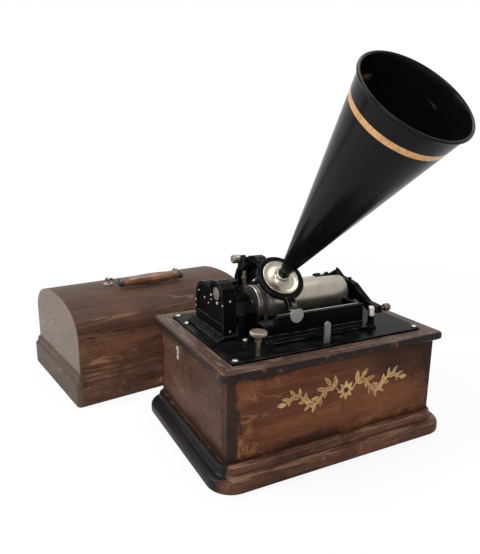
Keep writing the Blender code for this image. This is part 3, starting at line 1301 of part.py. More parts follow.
def make_motor():
    top = BED_LOW - SEAT
    half = FRAME_DEPTH / 2
    holes = []
    plates = []
    arm = FRAME_ARM
    outline = [(-half, top), (-half, GOVERNOR_Z - arm), (GOVERNOR_Y - arm, GOVERNOR_Z - arm * 2)]
    outline += [(MANDREL_Y - arm, FRAME_LOW), (half, FRAME_LOW), (half, top)]
    for left in (FRAME_LEFT, FRAME_RIGHT):
        plates.append(prism(outline, left, left + FRAME_PLATE, "x"))
    mid = FRAME_MID_DEPTH / 2
    start = FRAME_MID_X
    plates.append(
        box((start, MANDREL_Y - mid, FRAME_MID_LOW), (start + FRAME_PLATE, MANDREL_Y + mid, top))
    )
    bridge_low = top - FRAME_PLATE
    behind_belt = MANDREL_Y + PULLEY_RADIUS + BELT_THICKNESS + BELT_SLOT_MARGIN
    plates.append(
        box(
            (FRAME_LEFT + SEAT, behind_belt, bridge_low),
            (FRAME_RIGHT + SEAT, half - SEAT, top - SEAT),
        )
    )
    bridge_right = FRAME_RIGHT + SEAT
    plates.append(
        box(
            (start + SEAT, MANDREL_Y, bridge_low - SEAT),
            (bridge_right, behind_belt + BELT_SLOT_MARGIN, top - SEAT * 2),
        )
    )
    tie = rod(FRAME_TIE_RADIUS, FRAME_LEFT + SEAT, FRAME_RIGHT + FRAME_PLATE - SEAT)
    plates.append(moved(tie, ALONG_X, shift(0, MANDREL_Y - arm / 4, FRAME_TIE_Z)))
    lever_seat = START_Y + START_THICKNESS / 2
    stud = rod(START_STUD, START_Y - START_THICKNESS, START_Y + START_THICKNESS * 2)
    plates.append(moved(stud, ALONG_Y, shift(START_X, 0, START_PIVOT_Z)))
    lug_low = START_PIVOT_Z - START_TAIL
    lug_front = lever_seat + SEAT * 2
    plates.append(
        box(
            (START_X - START_WIDTH / 2, lug_front, lug_low),
            (START_X + START_WIDTH / 2, lug_front + FRAME_PLATE, top - SEAT * 3),
        )
    )
    plates.append(
        box(
            (START_X - START_WIDTH / 2 + SEAT, lug_front + SEAT, bridge_low),
            (START_X + START_WIDTH / 2 - SEAT, MANDREL_Y + mid, top - SEAT * 4),
        )
    )
    reach = OVERRUN
    for y, z, radius in (
        (MANDREL_Y, MOTOR_PULLEY_Z, MOTOR_SHAFT),
        (BARREL_Y, BARREL_Z, ARBOR_RADIUS),
        (GOVERNOR_Y, GOVERNOR_Z, GOVERNOR_SHAFT),
        (CRANK_Y, CRANK_Z, CRANK_SHAFT),
    ):
        low, high = FRAME_LEFT - reach, FRAME_RIGHT + FRAME_PLATE + reach
        if radius == CRANK_SHAFT:
            low = FRAME_RIGHT - reach
        if radius == MOTOR_SHAFT:
            high = FRAME_MID_X + FRAME_PLATE + reach
        holes.append(moved(rod(radius + RUNNING, low, high), ALONG_X, shift(0, y, z)))
    piece("motor_frame", carved(merged(*plates), *holes), IRON)

    spin = empty("motor_pulley_axis", (0, MANDREL_Y, MOTOR_PULLEY_Z))
    drum = MOTOR_PULLEY_RADIUS
    rim = drum + PULLEY_RIM
    left, right = PULLEY_LEFT, PULLEY_RIGHT
    width = PULLEY_RIM_WIDTH
    shaft = MOTOR_SHAFT
    pinion_x = BARREL_LEFT - BARREL_NECK - BARREL_GEAR_THICKNESS
    end = pinion_x + BARREL_GEAR_THICKNESS
    profile = [(FRAME_LEFT, 0), (FRAME_LEFT, shaft), (left, shaft), (left, rim), (left + width, drum)]
    profile += [(right - width, drum), (right, rim), (right, shaft), (end, shaft), (end, 0)]
    pulley = turned(profile, ROUND_MEDIUM)
    pinion = gear(MOTOR_PINION_TEETH, BARREL_GEAR_THICKNESS - SEAT * 2, STUD_RADIUS / 2)
    pinion = moved(pinion, ALONG_X, shift(0, 0, 0))
    pulley = merged(moved(pulley, ALONG_X), moved(pinion, shift(pinion_x, 0, 0)))
    piece("motor_pulley", pulley, STEEL, parent=spin)

    spin = empty("barrel_axis", (0, BARREL_Y, BARREL_Z))
    bore = ARBOR_RADIUS + RUNNING
    neck = ARBOR_RADIUS * 2
    wall = CASE_WALL / 4
    low, high = BARREL_LEFT, BARREL_RIGHT
    profile = [(low - BARREL_NECK - BARREL_GEAR_THICKNESS / 2, bore)]
    profile += [(low - BARREL_NECK - BARREL_GEAR_THICKNESS / 2, neck), (low, neck), (low, BARREL_RADIUS)]
    profile += [(high, BARREL_RADIUS), (high, BARREL_RADIUS - wall), (high - wall, BARREL_RADIUS - wall * 2)]
    profile += [(high - wall, bore)]
    drum = moved(turned(profile, 32), ALONG_X)
    teeth = barrel_teeth()
    wheel = gear(teeth, BARREL_GEAR_THICKNESS, bore)
    wheel = moved(wheel, ALONG_X, shift(pinion_x, 0, 0))
    piece("spring_barrel", merged(drum, wheel), BRASS, parent=spin)

    arbor = rod(ARBOR_RADIUS, FRAME_LEFT, FRAME_RIGHT + FRAME_PLATE)
    wheel = gear(WINDING_GEAR_TEETH, WINDING_GEAR_THICKNESS, ARBOR_RADIUS / 2)
    wheel = moved(wheel, ALONG_X, shift(WINDING_GEAR_X, 0, 0))
    piece("winding_arbor", merged(moved(arbor, ALONG_X), wheel), STEEL, parent=spin)

    spin = empty("governor_axis", (0, GOVERNOR_Y, GOVERNOR_Z))
    disc = GOVERNOR_DISC_X
    hub = GOVERNOR_HUB
    far = disc + GOVERNOR_SPAN
    thick = GOVERNOR_DISC_THICKNESS
    profile = [(FRAME_LEFT, 0), (FRAME_LEFT, GOVERNOR_SHAFT), (disc, GOVERNOR_SHAFT), (disc, GOVERNOR_DISC)]
    profile += [(disc + thick, GOVERNOR_DISC), (disc + thick, hub), (disc + thick * 2, hub)]
    profile += [(disc + thick * 2, GOVERNOR_SHAFT), (far, GOVERNOR_SHAFT), (far, hub), (far + thick, hub)]
    profile += [(far + thick, GOVERNOR_SHAFT), (FRAME_RIGHT + FRAME_PLATE, GOVERNOR_SHAFT)]
    profile += [(FRAME_RIGHT + FRAME_PLATE, 0)]
    piece("governor_shaft", turned(profile, ROUND_SMALL), STEEL, rotation=TURN_X, parent=spin)
    middle = (disc + thick * 2 + far) / 2
    sleeve = GOVERNOR_SHAFT + RUNNING
    outer = sleeve + LEAF_THICKNESS * 2
    near_end = disc + thick * 2 + SEAT
    far_end = far - SEAT
    weights = []
    for start, end in ((near_end, near_end + LEAF_WIDTH), (far_end - LEAF_WIDTH, far_end)):
        weights.append(moved(pipe(sleeve, outer, start, end, ROUND_SMALL), ALONG_X))
    for number in range(WEIGHT_COUNT):
        turn = Matrix.Rotation(math.tau * number / WEIGHT_COUNT, 4, "X")
        ball = bmesh.new()
        bmesh.ops.create_uvsphere(ball, u_segments=12, v_segments=8, radius=WEIGHT_BALL)
        ball = moved(ball, shift(middle, 0, WEIGHT_ORBIT))
        low = outer
        leaf = [(near_end + SEAT, low), (near_end + LEAF_WIDTH, low), (middle, WEIGHT_ORBIT)]
        leaf += [(far_end - LEAF_WIDTH, low), (far_end - SEAT, low)]
        leaf = prism(band(leaf, LEAF_THICKNESS), -LEAF_WIDTH / 2, LEAF_WIDTH / 2, "y")
        weights += [moved(ball, turn), moved(leaf, turn)]
    piece("governor_weights", merged(*weights), BRASS, parent=spin)


def barrel_teeth():
    """As many teeth as fill the distance to the motor pulley's pinion."""
    distance = math.dist((MANDREL_Y, MOTOR_PULLEY_Z), (BARREL_Y, BARREL_Z))
    return int(2 * distance / GEAR_MODULE) - MOTOR_PINION_TEETH


def make_crank():
    spin = empty("crank_axis", (0, CRANK_Y, CRANK_Z))
    pinion = gear(CRANK_PINION_TEETH, WINDING_GEAR_THICKNESS, CRANK_SHAFT / 2)
    pinion = moved(pinion, ALONG_X, shift(WINDING_GEAR_X, 0, 0))
    arm_end = CRANK_ARM_X + CRANK_ARM_THICKNESS
    shaft = moved(rod(CRANK_SHAFT, WINDING_GEAR_X + SEAT, arm_end + SEAT), ALONG_X)
    piece("crank_shaft", merged(shaft, pinion), STEEL, parent=spin)

    half = CRANK_ARM_WIDTH / 2
    length = CRANK_ARM_LENGTH
    outline = arc((0, 0), half, 0, math.pi, 8) + arc((0, -length), half * 0.8, math.pi, math.tau, 8)
    arm = prism(outline, CRANK_ARM_X, arm_end, "x")
    pin_end = arm_end + SEAT + GRIP_LENGTH + SEAT
    pin = [(CRANK_ARM_X + SEAT, 0), (CRANK_ARM_X + SEAT, CRANK_PIN), (pin_end, CRANK_PIN)]
    pin += [(pin_end, CRANK_PIN * 1.8), (pin_end + CRANK_PIN, CRANK_PIN), (pin_end + CRANK_PIN, 0)]
    pin = moved(turned(pin, ROUND_SMALL), ALONG_X, shift(0, 0, -length))
    eye = moved(rod(CRANK_SHAFT + SEAT, CRANK_ARM_X - OVERRUN, arm_end + OVERRUN), ALONG_X)
    piece("crank_arm", carved(merged(arm, pin), eye), NICKEL, parent=spin)

    bore = CRANK_PIN + RUNNING
    profile = [(0, bore), (0, GRIP_WAIST)]
    for share, swell in ((0.08, 0.25), (0.3, 0.7), (0.6, 1.0), (0.85, 0.85), (0.97, 0.35)):
        profile.append((GRIP_LENGTH * share, GRIP_WAIST + (GRIP_RADIUS - GRIP_WAIST) * swell))
    profile += [(GRIP_LENGTH, GRIP_WAIST), (GRIP_LENGTH, bore)]
    place = (arm_end + SEAT, 0, -length)
    piece("crank_grip", turned(profile, ROUND_SMALL), TURNED_WOOD, place, TURN_X, spin)


def dome(inset, floor):
    """The lid's cross-section as (y, z): straight sides under a superellipse."""
    low = LID_OVERHANG + inset
    high = LID_DEPTH - LID_OVERHANG - inset
    middle = (low + high) / 2
    reach = (high - low) / 2
    rise = LID_HEIGHT - inset - LID_SIDE
    power = 2 / LID_ROUNDNESS
    points = [(low, floor)]
    steps = ARC_STEPS + ARC_STEPS // 2
    for k in range(steps + 1):
        angle = math.pi * (1 - k / steps)
        across = math.copysign(abs(math.cos(angle)) ** power, math.cos(angle))
        points.append((middle + reach * across, LID_SIDE + rise * abs(math.sin(angle)) ** power))
    return points + [(high, floor)]


def make_lid():
    corner = empty("lid_corner", (LID_X, LID_Y, 0), (0, 0, LID_YAW))
    body_x = LID_LENGTH / 2 - LID_OVERHANG
    body_y = LID_DEPTH / 2 - LID_OVERHANG
    out = LID_OVERHANG
    edge = out / 3
    ledge = LID_BAND_LEDGE - LID_BAND
    profile = [(-LID_LEDGE, 0), (out - edge / 2, 0), (out, edge / 2), (out, LID_BAND - edge)]
    profile += [(out - edge / 2, LID_BAND), (out * 0.55, LID_BAND + ledge * 0.2)]
    profile += [(out * 0.45, LID_BAND + ledge * 0.7), (out * 0.2, LID_BAND_LEDGE)]
    profile += [(SEAT, LID_BAND_LEDGE), (SEAT, LID_REBATE), (-LID_LEDGE, LID_REBATE)]
    frame = moulding(profile, body_x, body_y, LID_CORNER)
    centre = (LID_LENGTH / 2, LID_DEPTH / 2, 0)
    piece("lid_moulding", frame, OAK_DARK, centre, parent=corner)

    low = LID_REBATE + SEAT
    shell = prism(dome(0, low), LID_OVERHANG, LID_LENGTH - LID_OVERHANG, "x")
    inset = LID_WALL
    left = LID_OVERHANG + inset
    hollow = prism(dome(inset, low - OVERRUN), left, LID_LENGTH - left, "x")
    piece("lid_shell", carved(shell, hollow), OAK, parent=corner)

    middle_x = LID_LENGTH / 2
    middle_y = LID_DEPTH / 2
    axis_z = LID_HEIGHT + LID_EYE_RISE
    half = LID_EYE_SPREAD / 2
    foot = LID_HEIGHT + SEAT
    for side, hand in ((-1, "left"), (1, "right")):
        radius = LID_EYE_RADIUS
        plate = rod(radius * 1.7, foot, foot + LID_EYE_RISE / 5)
        half_t = LID_EYE_THICKNESS / 2
        tab = arc((0, axis_z), radius, 0, math.pi, 8)
        tab += [(-radius, foot + SEAT), (radius, foot + SEAT)]
        post = merged(plate, prism(tab, -half_t, half_t, "x"))
        hole = moved(rod(BAIL_WIRE + RUNNING, -OVERRUN, OVERRUN), ALONG_X)
        post = carved(post, moved(hole, shift(0, 0, axis_z)))
        place = (middle_x + side * half, middle_y, 0)
        piece(f"lid_eye_{hand}", post, STEEL, place, parent=corner)

    bail = empty("bail_axis", (middle_x, middle_y, axis_z))
    bail.parent = corner
    bend = BAIL_WIRE * 2
    outer = half + BAIL_TUCK
    inner = half - LID_EYE_THICKNESS / 2 - SEAT - RUNNING - bend
    route = [(-outer, 0), (-inner - bend, 0)]
    route += arc((-inner - bend, -bend), bend, math.pi / 2, 0, 4)[1:]
    route += [(-inner, -BAIL_REACH + bend)]
    route += arc((-inner + bend, -BAIL_REACH + bend), bend, math.pi, math.pi * 1.5, 4)[1:]
    route = route + [(-x, y) for x, y in reversed(route)]
    ferrules = []
    for side in (-1, 1):
        near = side * (LID_GRIP_LENGTH / 2 + SEAT)
        far = near + side * FERRULE_LENGTH
        ferrule = rod(FERRULE_RADIUS, min(near, far), max(near, far))
        ferrules.append(moved(ferrule, ALONG_X, shift(0, -BAIL_REACH, 0)))
    loop = merged(wire(route, BAIL_WIRE, BAIL_FACETS), *ferrules)
    piece("lid_bail", loop, STEEL, parent=bail)

    bore = BAIL_WIRE + RUNNING
    length = LID_GRIP_LENGTH
    profile = [(-length / 2, bore), (-length / 2, LID_GRIP_END)]
    swells = ((0.06, 0.55), (0.1, 0.25), (0.3, 0.8), (0.5, 1.0), (0.7, 0.8), (0.9, 0.25), (0.94, 0.55))
    for share, swell in swells:
        radius = LID_GRIP_END + (LID_GRIP_RADIUS - LID_GRIP_END) * swell
        profile.append((length * (share - 0.5), radius))
    profile += [(length / 2, LID_GRIP_END), (length / 2, bore)]
    place = (0, -BAIL_REACH, 0)
    piece("lid_grip", turned(profile, ROUND_SMALL), TURNED_WOOD, place, TURN_X, bail)


clear_scene()
make_case()
make_bedplate()
make_housing()
make_pedestal()
make_tray()
make_right_bracket()
make_mandrel()
make_feed()
lift_empty = make_carriage()
make_reproducer(lift_empty)
make_lift_lever(lift_empty)
make_controls()
make_gate()
make_belt()
make_motor()
make_crank()
make_lid()
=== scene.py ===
"""Looks for the cylinder phonograph: the oak case and its separate arched lid, the black
japanned castings, the nickel mandrel, the carriage with its ring and the black conical horn.

Metres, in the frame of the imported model: X along the mandrel, Y to the back, Z up. Each
section is one piece or a group of like pieces.
"""

import bpy
import numpy as np
from mathutils import Matrix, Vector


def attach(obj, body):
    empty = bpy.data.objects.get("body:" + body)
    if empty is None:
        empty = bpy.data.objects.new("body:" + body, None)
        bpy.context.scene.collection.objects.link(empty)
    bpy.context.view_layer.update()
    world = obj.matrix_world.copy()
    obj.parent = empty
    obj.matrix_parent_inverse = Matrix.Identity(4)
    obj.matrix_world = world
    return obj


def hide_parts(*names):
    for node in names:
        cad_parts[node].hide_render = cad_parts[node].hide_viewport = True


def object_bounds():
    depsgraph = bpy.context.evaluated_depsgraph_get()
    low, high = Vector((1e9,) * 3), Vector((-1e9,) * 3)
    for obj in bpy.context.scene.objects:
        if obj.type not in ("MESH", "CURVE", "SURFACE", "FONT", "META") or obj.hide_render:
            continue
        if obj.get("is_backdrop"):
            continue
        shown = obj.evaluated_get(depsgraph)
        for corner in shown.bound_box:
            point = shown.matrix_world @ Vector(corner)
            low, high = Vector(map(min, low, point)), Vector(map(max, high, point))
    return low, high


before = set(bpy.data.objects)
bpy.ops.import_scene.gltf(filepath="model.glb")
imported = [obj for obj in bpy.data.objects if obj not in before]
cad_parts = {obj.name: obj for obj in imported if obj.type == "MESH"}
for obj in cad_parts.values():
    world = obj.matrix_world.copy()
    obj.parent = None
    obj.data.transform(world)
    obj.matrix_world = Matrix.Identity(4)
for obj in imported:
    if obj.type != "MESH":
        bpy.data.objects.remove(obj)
cad_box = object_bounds()

# The view: the camera stands at the left front, a little above the case and looking down.
# It was found by fitting the case, the mandrel and the horn to the photograph.
EYE = np.array([-0.36346, -0.55196, 0.35711])
LOOK = np.array([[0.8891, -0.4577, 0.0096], [-0.103, -0.2204, -0.97], [0.446, 0.8614, -0.2431]])
FOCUS = 538.27
FRAME_HEIGHT = 554
SENSOR = 36.0
CLIP_START = 0.01


def placed(ways, where):
    """The matrix that turns X, Y and Z to three ways and moves the origin to where."""
    return Matrix.Translation(list(where)) @ Matrix(np.column_stack(ways).tolist()).to_4x4()


left_part, _, right_part = np.linalg.svd(LOOK)
right_way, down_way, forward_way = left_part @ right_part
lens = bpy.data.cameras.new("view")
lens.sensor_fit = "AUTO"
lens.sensor_width = SENSOR
lens.lens = FOCUS * SENSOR / FRAME_HEIGHT
lens.clip_start = CLIP_START
camera = bpy.data.objects.new("view", lens)
camera.matrix_world = placed([right_way, -down_way, -forward_way], EYE)
bpy.context.scene.collection.objects.link(camera)
bpy.context.scene.camera = camera
bpy.context.scene.view_settings.view_transform = "Standard"

# Shader writing: a Value wraps one socket, so that sums and products of Values add their Math
# nodes, and a Sheet is a node tree that is filled by such expressions.
BEVEL_SAMPLES = 6
EDGE_COSINES = (0.995, 0.86)


class Value:
    """A number that changes over a surface."""

    def __init__(self, sheet, socket):
        self.sheet = sheet
        self.socket = socket

    def math(self, operation, *others):
        return self.sheet.node("ShaderNodeMath", {"operation": operation}, [self, *others])

    def __add__(self, other):
        return self.math("ADD", other)

    def __mul__(self, other):
        return self.math("MULTIPLY", other)

    def __sub__(self, other):
        return self.math("SUBTRACT", other)

    def __rsub__(self, other):
        return self.math("MULTIPLY", -1.0).math("ADD", other)

    def __gt__(self, other):
        return self.math("GREATER_THAN", other)

    def __abs__(self):
        return self.math("ABSOLUTE")

    __radd__ = __add__
    __rmul__ = __mul__

    def ramp(self, low, high):
        """0 below low and 1 above high, with a smooth step between; low may be above high."""
        settings = {"interpolation_type": "SMOOTHSTEP"}
        values = {"Value": self, "From Min": low, "From Max": high}
        return self.sheet.node("ShaderNodeMapRange", settings, values)


class Sheet:
    """A node tree, emptied at the start."""

    def __init__(self, tree):
        self.tree = tree
        tree.nodes.clear()

    def node(self, kind, settings=None, values=None, out=0):
        """Adds a node: its settings first, then the values or links of its sockets."""
        made = self.tree.nodes.new(kind)
        for key, value in (settings or {}).items():
            setattr(made, key, value)
        pairs = values.items() if isinstance(values, dict) else enumerate(values or [])
        for key, value in pairs:
            self.join(made.inputs[key], value)
        return Value(self, made.outputs[out])

    def join(self, socket, value):
        """Links a Value to a socket, or sets the socket to a plain number or colour."""
        if isinstance(value, Value):
            self.tree.links.new(value.socket, socket)
        else:
            socket.default_value = value


class Finish(Sheet):
    """One material. Its constants go to the sockets of its Principled shader."""

    def __init__(self, name, **constants):
        self.material = bpy.data.materials.new(name)
        self.material.use_nodes = True
        super().__init__(self.material.node_tree)
        self.surface = self.tree.nodes.new("ShaderNodeBsdfPrincipled")
        self.out = self.tree.nodes.new("ShaderNodeOutputMaterial")
        self.tree.links.new(self.surface.outputs[0], self.out.inputs["Surface"])
        for socket, value in constants.items():
            self.set(socket.replace("_", " "), value)
        self.place = self.node("ShaderNodeTexCoord", out="Object")

    def set(self, socket, value):
        self.join(self.surface.inputs[socket], value)

    def axes(self, place=None):
        """The three coordinates of a point as Values."""
        split = self.node("ShaderNodeSeparateXYZ", None, [place or self.place])
        return [Value(self, socket) for socket in split.socket.node.outputs]

    def vector(self, x, y, z):
        return self.node("ShaderNodeCombineXYZ", None, [x, y, z])

    def measure(self, operation, *vectors):
        """A number from Vector Math, such as a length or a dot product."""
        settings = {"operation": operation}
        return self.node("ShaderNodeVectorMath", settings, list(vectors), "Value")

    def upward(self, normal):
        """How far a face looks up: the height of its named normal."""
        way = self.node("ShaderNodeNewGeometry", out=normal)
        return self.node("ShaderNodeSeparateXYZ", None, [way], "Z")

    def noise(self, scale, detail, rough, warp=0.0, where=None):
        values = {"Vector": where or self.place, "Scale": scale, "Detail": detail}
        values.update({"Roughness": rough, "Distortion": warp})
        return self.node("ShaderNodeTexNoise", None, values)

    def grain(self, ways, fineness, *noise):
        """Noise drawn out along some ways: fineness is how finely it runs along each."""
        stretched = [way * fine for way, fine in zip(ways, fineness)]
        return self.noise(*noise, where=self.vector(*stretched))

    def blend(self, share, first, second):
        """A colour between two, by share. In a colour's mix they are at sockets 6 and 7."""
        first, second = (c if isinstance(c, Value) else (*c, 1.0) for c in (first, second))
        return self.node("ShaderNodeMix", {"data_type": "RGBA"}, {0: share, 6: first, 7: second}, 2)

    def lay(self, tone, *coats):
        """The base colour: a first tone under coats of (where and how much it shows, tone)."""
        self.tone = tone
        for share, over in coats:
            self.tone = self.blend(share, self.tone, over)
        self.set("Base Color", self.tone)

    def edges(self, radius):
        """Rounded normals over the edges, and a mask that is 1 on them."""
        bevel = self.node("ShaderNodeBevel", {"samples": BEVEL_SAMPLES}, {"Radius": radius})
        flat = self.node("ShaderNodeNewGeometry", out="True Normal")
        return bevel, self.measure("DOT_PRODUCT", bevel, flat).ramp(*EDGE_COSINES)

    def bump(self, height, distance, strength, normal=None):
        values = {"Height": height, "Distance": distance, "Strength": strength}
        if normal:
            values["Normal"] = normal
        self.set("Normal", self.node("ShaderNodeBump", None, values))


# The floor: a plain pale sheet. The camera sees it near white, with the object's shadow,
# and pure white farther away, where it meets the white surround.
FLOOR_HALF, FLOOR_DROP = 3.0, 0.0002
FLOOR_PALE = (0.86, 0.86, 0.86, 1.0)
WHITE = (1.0, 1.0, 1.0, 1.0)
GLOW_NEAR, GLOW_FAR = 0.85, 1.0
GLOW_REACH = (0.45, 1.3)
floor_corners = np.array([(-1, -1), (1, -1), (1, 1), (-1, 1)]) * FLOOR_HALF
floor_mesh = bpy.data.meshes.new("floor")
floor_mesh.from_pydata([(x, y, -FLOOR_DROP) for x, y in floor_corners], [], [(0, 1, 2, 3)])
floor = bpy.data.objects.new("floor", floor_mesh)
bpy.context.scene.collection.objects.link(floor)
pale = Finish("floor", Base_Color=FLOOR_PALE, Roughness=0.9)
seen = pale.node("ShaderNodeLightPath", out="Is Camera Ray")
glow = pale.node("ShaderNodeEmission", None, {"Color": WHITE})
glow_grows = pale.measure("LENGTH", pale.place).ramp(*GLOW_REACH)
glow_share = seen * (GLOW_NEAR + glow_grows * (GLOW_FAR - GLOW_NEAR))
plain = Value(pale, pale.surface.outputs[0])
pale.join(pale.out.inputs["Surface"], pale.node("ShaderNodeMixShader", None, [glow_share, plain, glow]))
floor_mesh.materials.append(pale.material)
floor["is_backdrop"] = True

# The light: a white surround that the camera and polished metal see at full white, which
# lights the object at about half of that, and three large soft lamps that look at its middle.
SURROUND = 0.42
LAMPS = (
    ("lamp_front", (-0.9, -1.3, 1.3), 1.0, 16.0),
    ("lamp_back_left", (-1.5, 0.5, 1.2), 1.2, 22.0),
    ("lamp_above", (0.3, 0.2, 1.9), 1.4, 15.0),
)
AIM = np.array([-0.04, 0.03, 0.13])
UP = (0.0, 0.0, 1.0)


def unit(vector):
    return vector / np.linalg.norm(vector)


world = bpy.data.worlds.new("surround")
bpy.context.scene.world = world
world.use_nodes = True
sky = Sheet(world.node_tree)
rays = sky.node("ShaderNodeLightPath").socket.node.outputs
ray_kinds = ("Is Camera Ray", "Is Glossy Ray", "Is Transmission Ray")
direct, glossy, through = (Value(sky, rays[kind]) for kind in ray_kinds)
full_white = direct.math("MAXIMUM", glossy).math("MAXIMUM", through)
brightness = SURROUND + full_white * (1 - SURROUND)
air = sky.node("ShaderNodeBackground", None, {"Color": WHITE, "Strength": brightness})
sky.join(sky.tree.nodes.new("ShaderNodeOutputWorld").inputs["Surface"], air)
for name, where, size, power in LAMPS:
    lamp = bpy.data.lights.new(name, "AREA")
    lamp.shape = "DISK"
    lamp.size = size
    lamp.energy = power
    away = unit(np.array(where) - AIM)
    side = unit(np.cross(UP, away))
    holder = bpy.data.objects.new(name, lamp)
    holder.matrix_world = placed([side, np.cross(away, side), away], where)
    bpy.context.scene.collection.objects.link(holder)

# The case's boards: quarter-sawn oak under dark red-brown varnish. Rays cross the grain in pale
# flecks, the pores are short dark dashes, and the edges are darkened by dirt and handling.
CASE_HALF = (0.143, 0.1)
CASE_TONES = ((0.074, 0.0275, 0.0145), (0.152, 0.054, 0.0245), (0.215, 0.088, 0.044))
SIDE_TONES = ((0.044, 0.0205, 0.0135), (0.086, 0.041, 0.0265), (0.135, 0.078, 0.054))
# Painted shade: each zone darkens a band of the boards, under the top frame and just above the base
# moulding.
FRONT_SHADE_ZONES = ((0.116, 0.123, 0.6), (0.036, 0.027, 0.75))
SIDE_SHADE_ZONES = ((0.106, 0.122, 0.5), (0.047, 0.03, 0.7))
PAINTED_SHADE_TONE = (0.016, 0.009, 0.007)
STRIP = {"front": 0.0135, "side": 0.0115, "right_cut": 0.7, "soft": (-0.002, 0.003)}
STRIP_TONE = (0.02, 0.0145, 0.013)
HIGH_RIGHT_TONE = (0.026, 0.0125, 0.0092)
BARE_TONE = (0.27, 0.115, 0.048)
RAGGED = 0.03


def times(colour, factor):
    return [part * factor for part in colour]


def mitred(x, y):
    """The ways along and across the grain of four lengths mitred round the case."""
    at_side = abs(x) - CASE_HALF[0] - (abs(y) - CASE_HALF[1]) > 0.0
    return x * (1 - at_side) + y * at_side, y * (1 - at_side) + x * at_side


def case_marks(sheet, ways, ragged):
    """Coats of the boards' own wear: dark strips down the corners, a darker upper right of the
    front, and bare wood low at the front's left end."""
    x, y, z = ways
    narrower = (x > 0.0) * (STRIP["front"] * STRIP["right_cut"])
    end_x = (abs(x) - (CASE_HALF[0] - STRIP["front"]) - narrower + ragged).ramp(*STRIP["soft"])
    end_y = (abs(y) - (CASE_HALF[1] - STRIP["side"]) + ragged).ramp(*STRIP["soft"])
    high_right = x.ramp(0.01, 0.085) * z.ramp(0.06, 0.102) * y.ramp(-0.098, -0.0995)
    left_end = y.ramp(-0.099, -0.0998) * x.ramp(-0.133, -0.127) * x.ramp(-0.102, -0.122)
    low_left = left_end * z.ramp(0.08, 0.052) * z.ramp(0.026, 0.034)
    rub = sheet.grain(ways, (90, 1, 26), 1.0, 4.0, 0.7).ramp(0.46, 0.56)
    return [
        (end_x * end_y * 0.85, STRIP_TONE),
        (high_right * 0.8, HIGH_RIGHT_TONE),
        (low_left * rub * 0.75, BARE_TONE),
    ]


def oak(name, along, tones, shade_zones=(), boards=False, gloss=0.1, edge=0.0012):
    """Varnished oak in a deep, a middle and a light tone. along is the grain's axis, or "frame"
    for four mitred lengths. Each shade zone is (low, high, share): the height over which the wood
    is painted darker as shade. boards adds the marks of the case's boards."""
    sheet = Finish(name, IOR=1.1, Coat_Weight=gloss, Coat_Roughness=0.2, Coat_IOR=1.3)
    x, y, z = sheet.axes()
    if along == "frame":
        run, cross = mitred(x, y)
    else:
        run, cross = (x, y) if along == "x" else (y, x)
    ways = (run, cross, z)
    fine = sheet.grain(ways, (5, 190, 190), 2.2, 4.0, 0.65)
    broad = sheet.grain(ways, (4, 12, 17), 1.5, 4.0, 0.6, 0.9)
    pores = sheet.grain(ways, (40, 620, 620), 1.0, 2.0, 0.5)
    patch = sheet.grain(ways, (14, 18, 19), 1.0, 3.0, 0.6)
    grime = sheet.noise(28.0, 5.0, 0.65)
    slope = sheet.vector(run * 13.0 + z * 12.0, cross * 20.0, z * 34.0 - run * 9.0)
    ray = abs(sheet.noise(1.0, 2.0, 0.5, 0.9, slope) - 0.51).ramp(0.02, 0.003)
    short = sheet.vector(run * 70.0 + z * 30.0, cross * 90.0, z * 210.0 - run * 30.0)
    fleck = sheet.noise(1.0, 2.0, 0.5, 0.5, short).ramp(0.66, 0.74)
    rounded, on_edge = sheet.edges(edge)
    ragged = (patch + grime - 1.0) * RAGGED
    deep, middle, light = tones
    coats = [
        (broad.ramp(0.3, 0.68), middle),
        (fine.ramp(0.42, 0.75) * 0.34, light),
        (ray * patch.ramp(0.46, 0.64) * 0.42, times(light, 1.5)),
        (fleck * patch.ramp(0.62, 0.42) * 0.45, times(light, 1.5)),
        (pores.ramp(0.6, 0.68) * 0.38, times(deep, 0.35)),
        (grime.ramp(0.5, 0.72) * 0.5, times(deep, 0.45)),
    ]
    # Painted shade: the wood darkens over each zone's heights.
    for low, high, share in shade_zones:
        coats.append(((z + ragged).ramp(low, high) * share, PAINTED_SHADE_TONE))
    if boards:
        coats += case_marks(sheet, (x, y, z), ragged)
    coats.append((on_edge * grime.ramp(0.35, 0.6) * 0.55, times(deep, 0.4)))
    sheet.lay(deep, *coats)
    sheet.set("Roughness", 0.34 + grime * 0.22)
    sheet.bump(fine * 0.5 + pores.ramp(0.62, 0.56), 0.00012, 0.6, rounded)
    return sheet


def paint(finish, *nodes):
    """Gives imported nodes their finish."""
    for node in nodes:
        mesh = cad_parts[node].data
        mesh.materials.clear()
        mesh.materials.append(finish.material)


paint(oak("oak_front", "x", CASE_TONES, FRONT_SHADE_ZONES, True), "case_front", "case_back")
paint(oak("oak_side", "y", SIDE_TONES, SIDE_SHADE_ZONES, True), "case_left", "case_right")
paint(oak("oak_bottom", "x", SIDE_TONES), "bottom_board")


# Shapes. Every new piece is one or more closed surfaces, each a grid of points joined by
# four-sided faces, with flat faces over its open ends.
def grid_faces(rows, columns, loop):
    """Joins a grid whose columns close on themselves; its rows close too where loop is set."""
    row = np.arange(rows if loop else rows - 1)[:, None]
    column = np.arange(columns)[None, :]
    after = (row + 1) % rows
    beside = (column + 1) % columns
    corners = [row * columns + column, row * columns + beside]
    corners += [after * columns + beside, after * columns + column]
    return np.stack(np.broadcast_arrays(*corners), axis=-1).reshape(-1, 4)


def fan_volume(corners):
    """Six times the volume between the origin and flat faces, as (face, corner, xyz)."""
    return (corners[:, :1] * np.cross(corners[:, 1:-1], corners[:, 2:])).sum()


